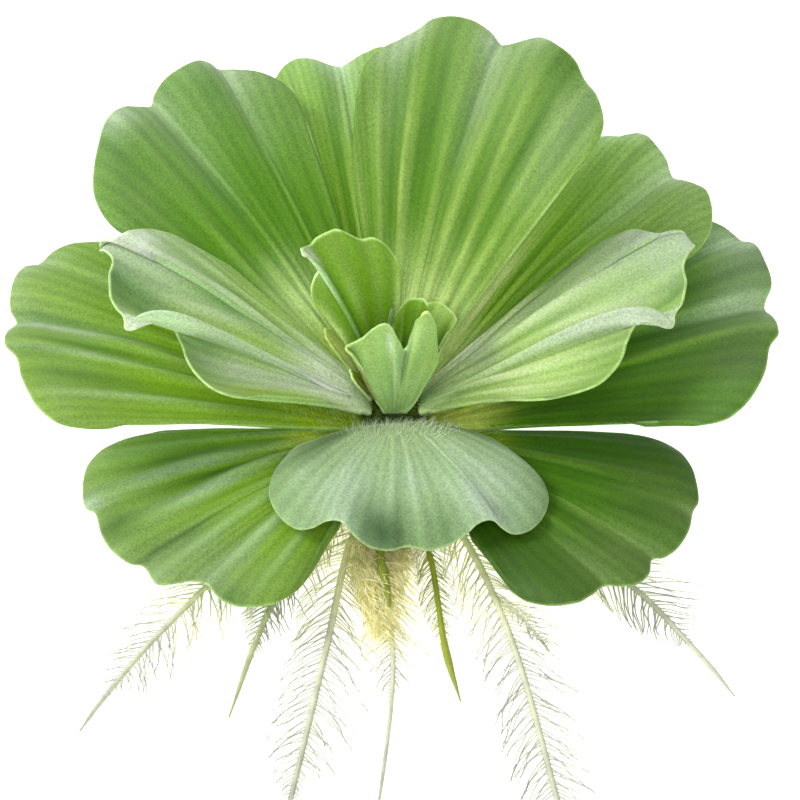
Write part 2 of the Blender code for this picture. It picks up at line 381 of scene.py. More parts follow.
@dataclass(frozen=True)
class LeafTissue:
    """Living leaf: waxy and velvety with water-shedding hairs, so matt, with a soft pale sheen on its ridges.

    The colour follows the real blade: saturated green in the grooves, where it is thin and lit through,
    a grey-green bloom on the ridges and towards the margin, pale yellow at the foot and on the thin rim.
    Light and shade are painted in as well: painted shade in hollows and beside each rib, and painted
    highlight with the bloom on raised crests and at notches.
    """

    name: str
    groove: str
    ridge: str
    outer: str
    base: str
    # pale is the colour of the bloom, which also serves as painted highlight
    pale: str
    # deep is the colour of the painted shade
    deep: str
    olive: str
    rim: str = "#CBE39B"
    under: str = "#8DB771"
    shares: tuple[float, ...] = (0.8, 0.55, 0.8, 0.8, 0.8, 0.85, 0.75, 0.6)     # how well each paint covers
    veins: float = 26.0             # fine veins across the blade, about 3 to a rib
    vein_height: float = 0.07       # as a share of the grain's height
    grain: float = 0.4              # size of the velvet's grain in millimetres
    mottle: float = 7.0             # size of the cloudy lighter and darker patches in millimetres

    def build(self) -> Material:
        """Builds the material.

        Returns:
            The material.
        """
        material, tree, shader = start_material(self.name)
        uneven = map_range(tree, clouds(tree, self.mottle), 0.3, 0.7, 0.72, 1.12)
        colour: Any = linear(self.groove)
        paints = (self.ridge, self.outer, self.base, self.pale, self.deep, self.olive, self.rim, self.under)
        for mark, paint, share in zip(Mark, paints, self.shares):
            spread = calculate(tree, "MULTIPLY", read_mark(tree, mark.value), uneven)
            amount = calculate(tree, "MULTIPLY", spread, share, clamp=True)
            colour = mix_colours(tree, amount, colour, linear(paint))
        turns = calculate(tree, "MULTIPLY", read_mark(tree, "across"), 2 * pi * self.veins)
        veined = calculate(tree, "MULTIPLY_ADD", calculate(tree, "SINE", turns), self.vein_height, 0.5)
        grain = clouds(tree, self.grain)
        height = calculate(tree, "ADD", grain, veined)
        set_inputs(tree, shader, {
            "Base Color": tone(tree, colour, map_range(tree, height, 0.75, 1.25, 0.72, 1.28)),
            "Roughness": map_range(tree, grain, 0.3, 0.7, 0.48, 0.66),
            "Normal": relief(tree, height, strength=0.35, depth=0.12),
            "IOR": 1.42, "Specular IOR Level": 0.25,
            "Sheen Weight": 0.12, "Sheen Roughness": 0.25, "Sheen Tint": linear("#DDEFD6"),
            "Subsurface Weight": 0.3, "Subsurface Radius": (0.7, 1.0, 0.2), "Subsurface Scale": 1.2 * MM})
        return material


class Look(Enum):
    """How a leaf's tissue looks where it sits in the rosette. Several are lit and shaded copies of one
    tissue:
    the light or shade that a leaf gets there is painted into their colours, besides its own bloom and stains.

    The paints are for grooves, ridges, outer part, foot, pale spots (bloom and painted highlight),
    deep shade (painted shade) and olive stains.
    """

    # Upright leaf at the back: mid green between yellow-green ribs, dark green where they shade it
    BACK = LeafTissue("leaf_upright", groove="#497205", ridge="#849F4B", outer="#5D7933", base="#D5E79B",
                      pale="#B5BEAC", deep="#214A06", olive="#8FA012")
    # The same green with quieter ribs and a greyer outer part
    BACK_LEFT = LeafTissue("leaf_back_left", groove="#4A7606", ridge="#60832E", outer="#7A925E",
                           base="#C8E094", pale="#AFB9A6", deep="#2E5E13", olive="#A3B51B")
    # A lighter, yellower green, as where light comes through
    BEHIND = LeafTissue("leaf_behind", groove="#6D9A10", ridge="#90AF48", outer="#758468", base="#BDD967",
                        pale="#BACCB1", deep="#3A711B", olive="#8FA012")
    # The same light green, with a cream foot
    BACK_RIGHT = LeafTissue("leaf_back_right", groove="#699211", ridge="#81A23A", outer="#7F946F",
                            base="#EDEDB1", pale="#B1C1A8", deep="#265A04", olive="#8FA012")
    # Turned to the light: yellow green, and brightest at its foot
    LEFT = LeafTissue("leaf_lit", groove="#698D10", ridge="#7E9D46", outer="#6C7F54", base="#83B304",
                      pale="#8E9E83", deep="#255508", olive="#819C04")
    # Low and turned to the light: grey-green ribs, yellow stains
    FRONT_LEFT = LeafTissue("leaf_low", groove="#678A1D", ridge="#88A572", outer="#5F7246", base="#9DB424",
                            pale="#8E9F88", deep="#244B0C", olive="#BFCF21")
    # Half in shade, with a bright yellow foot
    RIGHT = LeafTissue("leaf_shaded", groove="#457307", ridge="#81A938", outer="#586A3E", base="#EDED3C",
                       pale="#AFC2A3", deep="#2C5104", olive="#C5D763")
    # The darkest green, low and in shade
    FRONT_RIGHT = LeafTissue("leaf_low_shaded", groove="#375F05", ridge="#527316", outer="#4F6431",
                             base="#799B0C", pale="#7F9459", deep="#1D3803", olive="#9CB303")
    # Dulled by a thick grey bloom on its ribs
    INNER_LEFT = LeafTissue("leaf_with_bloom", groove="#83A248", ridge="#9BAF81", outer="#65825E",
                            base="#E8EDDF", pale="#C7CEC0", deep="#2D6825", olive="#748004")
    # The same bloom in full light, pale green on the ribs
    INNER_RIGHT = LeafTissue("leaf_with_bloom_lit", groove="#7A9C36", ridge="#BFCCA0", outer="#567146",
                             base="#E5EDCE", pale="#B0BCA9", deep="#24581E", olive="#8FA012")
    # Grey green all over: the bloom covers this leaf
    FRONT = LeafTissue("leaf_with_grey_bloom", groove="#809B69", ridge="#99AB90", outer="#527039",
                       base="#92A478", pale="#9DAD9A", deep="#183D18", olive="#8FA012")
    # Fresh green with pale ribs and few veins
    YOUNG = LeafTissue("leaf_young", groove="#5B8805", ridge="#B6CF7B", outer="#8C9D56", base="#6FA400",
                       pale="#E8EDDF", deep="#507604", olive="#8FA012", veins=8.0)
    # Olive and cream, as it has hardly seen light
    INMOST = LeafTissue("leaf_inmost", groove="#6F801B", ridge="#C5CB82", outer="#9AB722", base="#86885C",
                        pale="#E8EDDF", deep="#2D4903", olive="#828703", veins=8.0)


@dataclass(frozen=True)
class RootTissue:
    """Wet root: a milky, faintly see-through cord with side roots.

    It is yellower and lighter near the crown, its own cream with painted light that lifts the leaves' shadow
    there, greyer at its tip, and its side roots fade to a thinner white.
    """

    name: str
    near: str
    axis: str
    tip: str
    side: str
    side_tip: str
    mottle: float = 2.5             # size of the cloudy patches in millimetres

    def build(self) -> Material:
        """Builds the material.

        Returns:
            The material.
        """
        material, tree, shader = start_material(self.name)
        cloud = clouds(tree, self.mottle)
        along = read_mark(tree, "along")
        late = map_range(tree, along, 0.6, 1.0)
        # share of the near colour: the root's own cream with painted light against the leaves' shadow
        early = map_range(tree, along, 0.22, 0.5, 1.0, 0.0)
        axis = mix_colours(tree, late, linear(self.axis), linear(self.tip))
        side = mix_colours(tree, read_mark(tree, "side_reach"), linear(self.side), linear(self.side_tip))
        both = mix_colours(tree, read_mark(tree, "is_side"), axis, side)
        whole = mix_colours(tree, early, both, linear(self.near))
        set_inputs(tree, shader, {
            "Base Color": tone(tree, whole, map_range(tree, cloud, 0.3, 0.7, 0.85, 1.12)),
            "Normal": relief(tree, cloud, strength=0.3, depth=0.1),
            "Roughness": 0.5, "IOR": 1.38, "Specular IOR Level": 0.35,
            "Subsurface Weight": 0.4, "Subsurface Radius": (1.0, 0.9, 0.6), "Subsurface Scale": 0.8 * MM})
        return material


@dataclass(frozen=True)
class FibreTissue:
    """Fibres and hairs: tan, green or brown in soft patches of two tones, dull all over."""

    name: str
    light: str
    dark: str
    mottle: float = 1.5             # size of the patches in millimetres

    def build(self) -> Material:
        """Builds the material.

        Returns:
            The material.
        """
        material, tree, shader = start_material(self.name)
        cloud = clouds(tree, self.mottle, detail=4.0)
        share = map_range(tree, cloud, 0.35, 0.65)
        set_inputs(tree, shader, {
            "Base Color": mix_colours(tree, share, linear(self.light), linear(self.dark)),
            "Normal": relief(tree, cloud, strength=0.5, depth=0.2),
            "Roughness": 0.75, "Specular IOR Level": 0.3,
            "Subsurface Weight": 0.25, "Subsurface Radius": (1.0, 0.9, 0.4), "Subsurface Scale": 0.6 * MM})
        return material


# Leaves

WHOLE_MARGIN = 9.0                  # a width across that rolls the whole margin alike
FLATTEST_CUP = 0.001                # radians; a flatter blade is taken for this one, which no eye tells apart
CLOSE_ROWS = (0.0, 0.2, 0.45, 0.85, 1.4, 2.2)   # rows of faces near the margin, in millimetres from it
EVEN_ROWS_END = 3.0                 # millimetres from the margin where the even rows end
# Raised bands are painted pale: bloom with a painted highlight on the crest
PALE_HEIGHT = 3.0                   # a band raised this far is wholly pale, in millimetres
UNDER_AT_EDGE = 0.4                 # share of the underside's colour on the rounded edge


@dataclass(frozen=True)
class Wave:
    """A band of the blade that is raised or sunk more and more towards the margin."""

    place: float                    # across, from -1 to 1
    height: float                   # millimetres where it is fully grown
    width: float                    # across
    grows: tuple[float, float] = (0.1, 1.0)     # shares of the way to the margin


@dataclass(frozen=True)
class Curl:
    """A stretch of the margin that rolls up, or down where its turn is below 0."""

    place: float                    # across
    width: float
    turn: float                     # degrees at the margin
    reach: float                    # share of the way to the margin that rolls


@dataclass(frozen=True)
class Patch:
    """A soft patch of one paint. Its sizes are half widths of its fading edge, as its places are counted."""

    mark: Mark
    across: float                   # from -1 at the left edge to 1 at the right
    along: float                    # from 0 at the foot to 1 at the margin
    wide: float
    long: float
    amount: float                   # taken away where it is below 0


def patches_of(mark: Mark, *places: tuple[float, float, float, float, float]) -> tuple[Patch, ...]:
    """Patches of one paint.

    Args:
        mark: the paint.
        places: across, along, wide, long and amount of each patch.

    Returns:
        The patches.
    """
    return tuple(Patch(mark, *place) for place in places)


@dataclass(frozen=True)
class Blade:
    """A leaf blade: a ribbed wedge that ends in a rounded, lobed margin.

    Sizes are millimetres and degrees. Places across go from -1 at the left edge to 1 at the right.
    """

    name: str
    look: Look
    azimuth: float                  # the way it points, from +X towards +Y
    foot: tuple[float, float]       # radius and height of its foot on the crown
    length: float
    width: tuple[float, float]      # left and right half widths
    tilt: tuple[float, float]       # rise of the blade at its foot and at its tip
    widest: float = 0.7             # share of the length where it is widest
    foot_width: float = 5.5
    cup: tuple[float, float] = (10.0, 10.0)     # how far the left and right halves bend up
    sweep: float = 0.0              # how far its tip bends to the right, as a share of the length
    belly: tuple[float, float] = (0.0, 0.0)     # bulge of each half halfway out, as a share of its width
    outline: tuple[tuple[float, float], ...] = ()   # margin from left to right, where it is no ellipse
    notches: tuple[tuple[float, float, float], ...] = ()   # place across, depth share and half width
    lobes: float = 2.2              # how far the blade sinks towards a notch
    lobe_reach: float = 2.4         # how wide it sinks, in half widths of the notch
    lobe_edge: float = 1.3          # how sharply that ends, where 2 is a bell
    # lobe_paleness paints the sink towards a notch pale: bloom with painted sheen
    lobe_paleness: float = 0.4
    droop: float = 30.0             # degrees that the margin rolls down
    droop_reach: float = 0.12       # share of the way to the margin that does so
    waves: tuple[Wave, ...] = ()
    off: float = 0.0                # how far the whole blade stands to the right
    curls: tuple[Curl, ...] = ()
    patches: tuple[Patch, ...] = ()
    ribs: tuple[tuple[float, float, float], ...] = ()   # places across inside and at the margin, strength
    rib_inside: float = 0.4         # share of the way to the margin where the inside places are
    rib_height: float = 0.4
    rib_width: float = 0.04         # across
    # rib_shade sets how strong the painted shade is just beside each rib, where the rib's shadow would fall
    rib_shade: float = 0.35         # how deep the colour is just right of a rib, or left where it is below 0
    rib_fade: float = 0.6           # how much of a rib is lost by the margin
    rib_sway: float = 0.012         # how far a rib wanders across
    rib_pulse: float = 0.3          # how unevenly high it is along its length
    rib_edge: float = 1.6           # how sharply its flank ends, where 2 is a bell
    groove: float = 0.6             # depth of the grooves, as a share of the ribs' height
    thickness: float = 1.2
    rim_thickness: float = 0.45
    rim_bulge: float = 0.4          # how far the edge is rounded outwards, as a share of its thickness
    ruffle: float = 0.5             # height of the margin's small waves
    ruffle_pace: float = 7.0        # radians of the longest one, for each half width across
    outer: float = 0.8              # bloom towards the margin
    rim: float = 0.25               # paleness of the margin itself
    base: tuple[float, float] = (0.8, 0.35)     # paleness at the foot, and how far out it reaches
    grid: tuple[int, int] = (110, 64)           # columns and rows of faces
    seed: int = 1

    def margin(self, s: np.ndarray) -> tuple[np.ndarray, np.ndarray]:
        """Flat margin points: the leaf's own outline, or else a wedge that touches an ellipse.

        Args:
            s: places across.

        Returns:
            Distance to the right and distance out, for each place.
        """
        if self.outline:
            return tuple(curve_through(self.outline, (s + 1) / 2).T)
        low = self.length * self.widest
        rise = self.length - low
        half = np.where(s < 0, self.width[0], self.width[1])
        foot, slope = self.foot_width / 2 / half, low / rise
        turn = s * (np.arctan2(slope, foot) + np.arcsin(1.0 / np.hypot(foot, slope)))
        return half * np.sin(turn), low + rise * np.cos(turn)

    def sway(self, s: np.ndarray, size: float, pace: float) -> np.ndarray:
        """A smooth irregular line of a few waves, different for each leaf."""
        dice = np.random.default_rng(self.seed)
        line = np.zeros_like(s)
        for k in range(1, 4):
            line += size / k * np.sin(pace * k * s + dice.uniform(0, 2 * pi))
        return line

    def ridges(self, s: np.ndarray, t: np.ndarray) -> np.ndarray:
        """Height share of the ribs, 1 on a crest and 0 in a groove, faded at the foot and the margin."""
        crest = np.zeros((len(s), len(t)))
        dice = np.random.default_rng(self.seed + 50)
        for near, far, strength in self.ribs:
            place = near + (far - near) * (t - self.rib_inside) / (1 - self.rib_inside)
            place = place + self.rib_sway * np.sin(dice.uniform(6, 11) * t + dice.uniform(0, 6))
            gap = abs(s[:, None] - place[None, :]) / self.rib_width
            pulse = self.rib_pulse * np.sin(dice.uniform(8, 14) * t + dice.uniform(0, 6))
            power = strength * (1 + pulse)
            crest = np.maximum(crest, power[None, :] * np.exp(-gap ** self.rib_edge))
        return crest * (smooth(t, 0.02, 0.25) * (1 - self.rib_fade * smooth(t, 0.6, 1.0)))[None, :]

    def surface(self, s: np.ndarray, t: np.ndarray) -> tuple[np.ndarray, dict[str, np.ndarray]]:
        """The blade's middle surface and what is painted on it.

        Args:
            s: places across, from -1 to 1.
            t: shares of the way from the foot to the margin.

        Returns:
            Points in millimetres, and the marks, one for each pair of s and t.
        """
        wide, deep = s[:, None], t[None, :]
        left = wide < 0
        half = np.where(left, *self.width)
        tip_x, tip_y = self.margin(s)
        foot_x = s * self.foot_width / 2
        span = np.hypot(tip_x - foot_x, tip_y)[:, None]
        turn = np.zeros((len(s), len(t)))
        all_round = Curl(place=0.0, width=WHOLE_MARGIN, turn=-self.droop, reach=self.droop_reach)
        for curl in (all_round, *self.curls):
            q = np.clip((deep - 1 + curl.reach) / curl.reach, 0.0, 1.0)
            turn = turn + radians(curl.turn) * bell(wide, curl.place, curl.width) * q * q
        run, rise = (self.summed(f(turn), t) * span for f in (np.cos, np.sin))
        x = foot_x[:, None] + (tip_x - foot_x)[:, None] / span * run
        y = tip_y[:, None] / span * run
        belly = np.where(left, *self.belly)
        x = x + np.sign(wide) * belly * half * abs(wide) ** 3 * np.sin(pi * deep)
        share = y / self.length
        x = x + self.sweep * self.length * share ** 2
        cup = np.radians(np.where(left, *self.cup)) * smooth(deep, 0.0, 0.5)
        cup = np.where(abs(cup) > FLATTEST_CUP, cup, FLATTEST_CUP)
        bend = cup * x / half
        across = np.sin(bend) / cup * half + self.off
        lift = (1 - np.cos(bend)) / cup * half + rise
        ridge = self.ridges(s, t)
        crest = np.zeros_like(lift)
        for wave in self.waves:
            shape = bell(wide, wave.place, wave.width) * smooth(deep, *wave.grows)
            lift = lift + wave.height * shape
            # the raised band is painted paler: bloom with painted highlight
            crest = crest + max(wave.height, 0.0) / PALE_HEIGHT * shape
        for place, depth, width in self.notches:
            gap = abs((wide - place) / (self.lobe_reach * width))
            sink = depth * np.exp(-gap ** self.lobe_edge) * smooth(deep, 0.5, 1.0)
            lift = lift - self.lobes * sink
            # the sink towards a notch is painted paler: bloom with painted sheen
            crest = crest + self.lobe_paleness * sink
        lift = lift + self.rib_height * (2 * ridge - self.groove * smooth(deep, 0.02, 0.25))
        lift = lift + self.sway(s, self.ruffle, self.ruffle_pace)[:, None] * smooth(deep, 0.6, 1.0)
        first = radians(self.tilt[0])
        change = radians(self.tilt[1]) - first
        slope = first + change * share
        out = (np.sin(slope) - np.sin(first)) / change * self.length
        up = (np.cos(first) - np.cos(slope)) / change * self.length
        radial = self.foot[0] + out - lift * np.sin(slope)
        height = self.foot[1] + up + lift * np.cos(slope)
        aim = radians(self.azimuth)
        points = np.stack([radial * cos(aim) + across * sin(aim), radial * sin(aim) - across * cos(aim),
                           height], -1)
        return points, self.marks(s, t, ridge, crest, span)

    @staticmethod
    def summed(values: np.ndarray, t: np.ndarray) -> np.ndarray:
        """Running integral of values along t."""
        steps = (values[:, 1:] + values[:, :-1]) / 2 * np.diff(t)[None, :]
        return np.concatenate([np.zeros((len(values), 1)), np.cumsum(steps, axis=1)], axis=1)

    def marks(self, s: np.ndarray, t: np.ndarray, ridge: np.ndarray, crest: np.ndarray,
              span: np.ndarray) -> dict[str, np.ndarray]:
        """What is painted on the blade.

        Args:
            s: places across.
            t: shares of the way to the margin.
            ridge: height share of the ribs.
            crest: height share of the raised bands, with the sink towards notches, painted pale: bloom with
                painted highlight.
            span: distance from foot to margin for each place across.

        Returns:
            Mark name to a number for each pair of s and t.
        """
        wide, deep = s[:, None], t[None, :]
        half = np.where(wide < 0, *self.width)
        edge = np.minimum((1 - deep) * span, (1 - abs(wide)) * half * deep)
        beside = 2.0 * np.sign(self.rib_shade) * self.rib_width
        painted = {
            Mark.RIDGE: ridge,
            Mark.OUTER: self.outer * smooth(deep, 0.55, 1.0) + 0 * wide,
            Mark.BASE: self.base[0] * (1 - smooth(deep, 0.0, self.base[1])) + 0 * wide,
            # bloom with painted highlight
            Mark.BLOOM_AND_HIGHLIGHT: np.clip(crest, 0, 1),
            # painted shade beside each rib
            Mark.PAINTED_SHADE: abs(self.rib_shade) * self.ridges(s - beside, t),
            Mark.OLIVE: 0 * ridge,
            Mark.RIM: self.rim * (1 - smooth(edge, 0.05, 0.3)),
        }
        for patch in self.patches:
            spot = bell(wide, patch.across, patch.wide) * bell(deep, patch.along, patch.long)
            painted[patch.mark] = painted[patch.mark] + patch.amount * spot
        named = {mark.value: np.clip(values, 0, 1) for mark, values in painted.items()}
        named["across"] = (wide + 1) / 2 + 0 * deep
        named["fuzz"] = (1 - smooth(deep, 0.08, 0.3)) * smooth(deep, 0.0, 0.03) + 0 * wide
        return named

    def mesh(self) -> Mesh:
        """The blade as a closed mesh: upper face, lower face and a rounded edge.

        Returns:
            The mesh, in metres and in place.
        """
        close = np.array(CLOSE_ROWS)
        even = np.linspace(0, 1 - EVEN_ROWS_END / self.length, self.grid[1])
        t = np.concatenate([even, 1 - close[::-1] / self.length])
        inner = np.linspace(-1, 1, self.grid[0] + 1)
        near = 1 - close[1:4] / max(self.width)
        s = np.unique(np.concatenate([inner, near, -near]).round(6))
        points, marks = self.surface(s, t)
        along_s, along_t = (np.gradient(points, axis=axis) for axis in (0, 1))
        normal = unit(np.cross(along_s, along_t))
        thick = self.thickness + (self.rim_thickness - self.thickness) * smooth(t, 0.0, 0.65)[None, :, None]
        n, m = len(s), len(t)
        border = [(i, 0) for i in range(n)] + [(n - 1, j) for j in range(1, m)]
        border += [(i, m - 1) for i in range(n - 2, -1, -1)] + [(0, j) for j in range(m - 2, 0, -1)]
        outward = np.zeros_like(points)
        outward[0] -= unit(along_s[0])
        outward[-1] += unit(along_s[-1])
        outward[:, 0] -= unit(along_t[:, 0])
        outward[:, -1] += unit(along_t[:, -1])
        rows, columns = zip(*border)
        ring = (points + outward * self.rim_thickness * self.rim_bulge)[rows, columns]
        places = np.concatenate([(points + normal * thick / 2).reshape(-1, 3),
                                 (points - normal * thick / 2).reshape(-1, 3), ring]) * MM
        number = np.arange(n * m).reshape(n, m)
        corners = (number[:-1, :-1], number[1:, :-1], number[1:, 1:], number[:-1, 1:])
        quads = np.stack(corners, -1).reshape(-1, 4)
        faces = quads.tolist() + (quads[:, ::-1] + n * m).tolist()
        for k, (i, j) in enumerate(border):
            e = (k + 1) % len(border)
            top, after = number[i, j], number[border[e]]
            middle, beyond = 2 * n * m + k, 2 * n * m + e
            faces.append((top, after, beyond, middle))
            faces.append((middle, beyond, after + n * m, top + n * m))
        spread = {key: np.concatenate([v.ravel(), v.ravel(), v[rows, columns]]) for key, v in marks.items()}
        edge = np.full(len(border), UNDER_AT_EDGE)
        spread[Mark.UNDER.value] = np.concatenate([np.zeros(n * m), np.ones(n * m), edge])
        spread["fuzz"] = spread["fuzz"] * (1 - spread[Mark.UNDER.value])
        flow = unit(along_t)
        spread["grain"] = np.concatenate([flow.reshape(-1, 3), flow.reshape(-1, 3), flow[rows, columns]])
        return make_mesh(self.name, places, faces, spread)
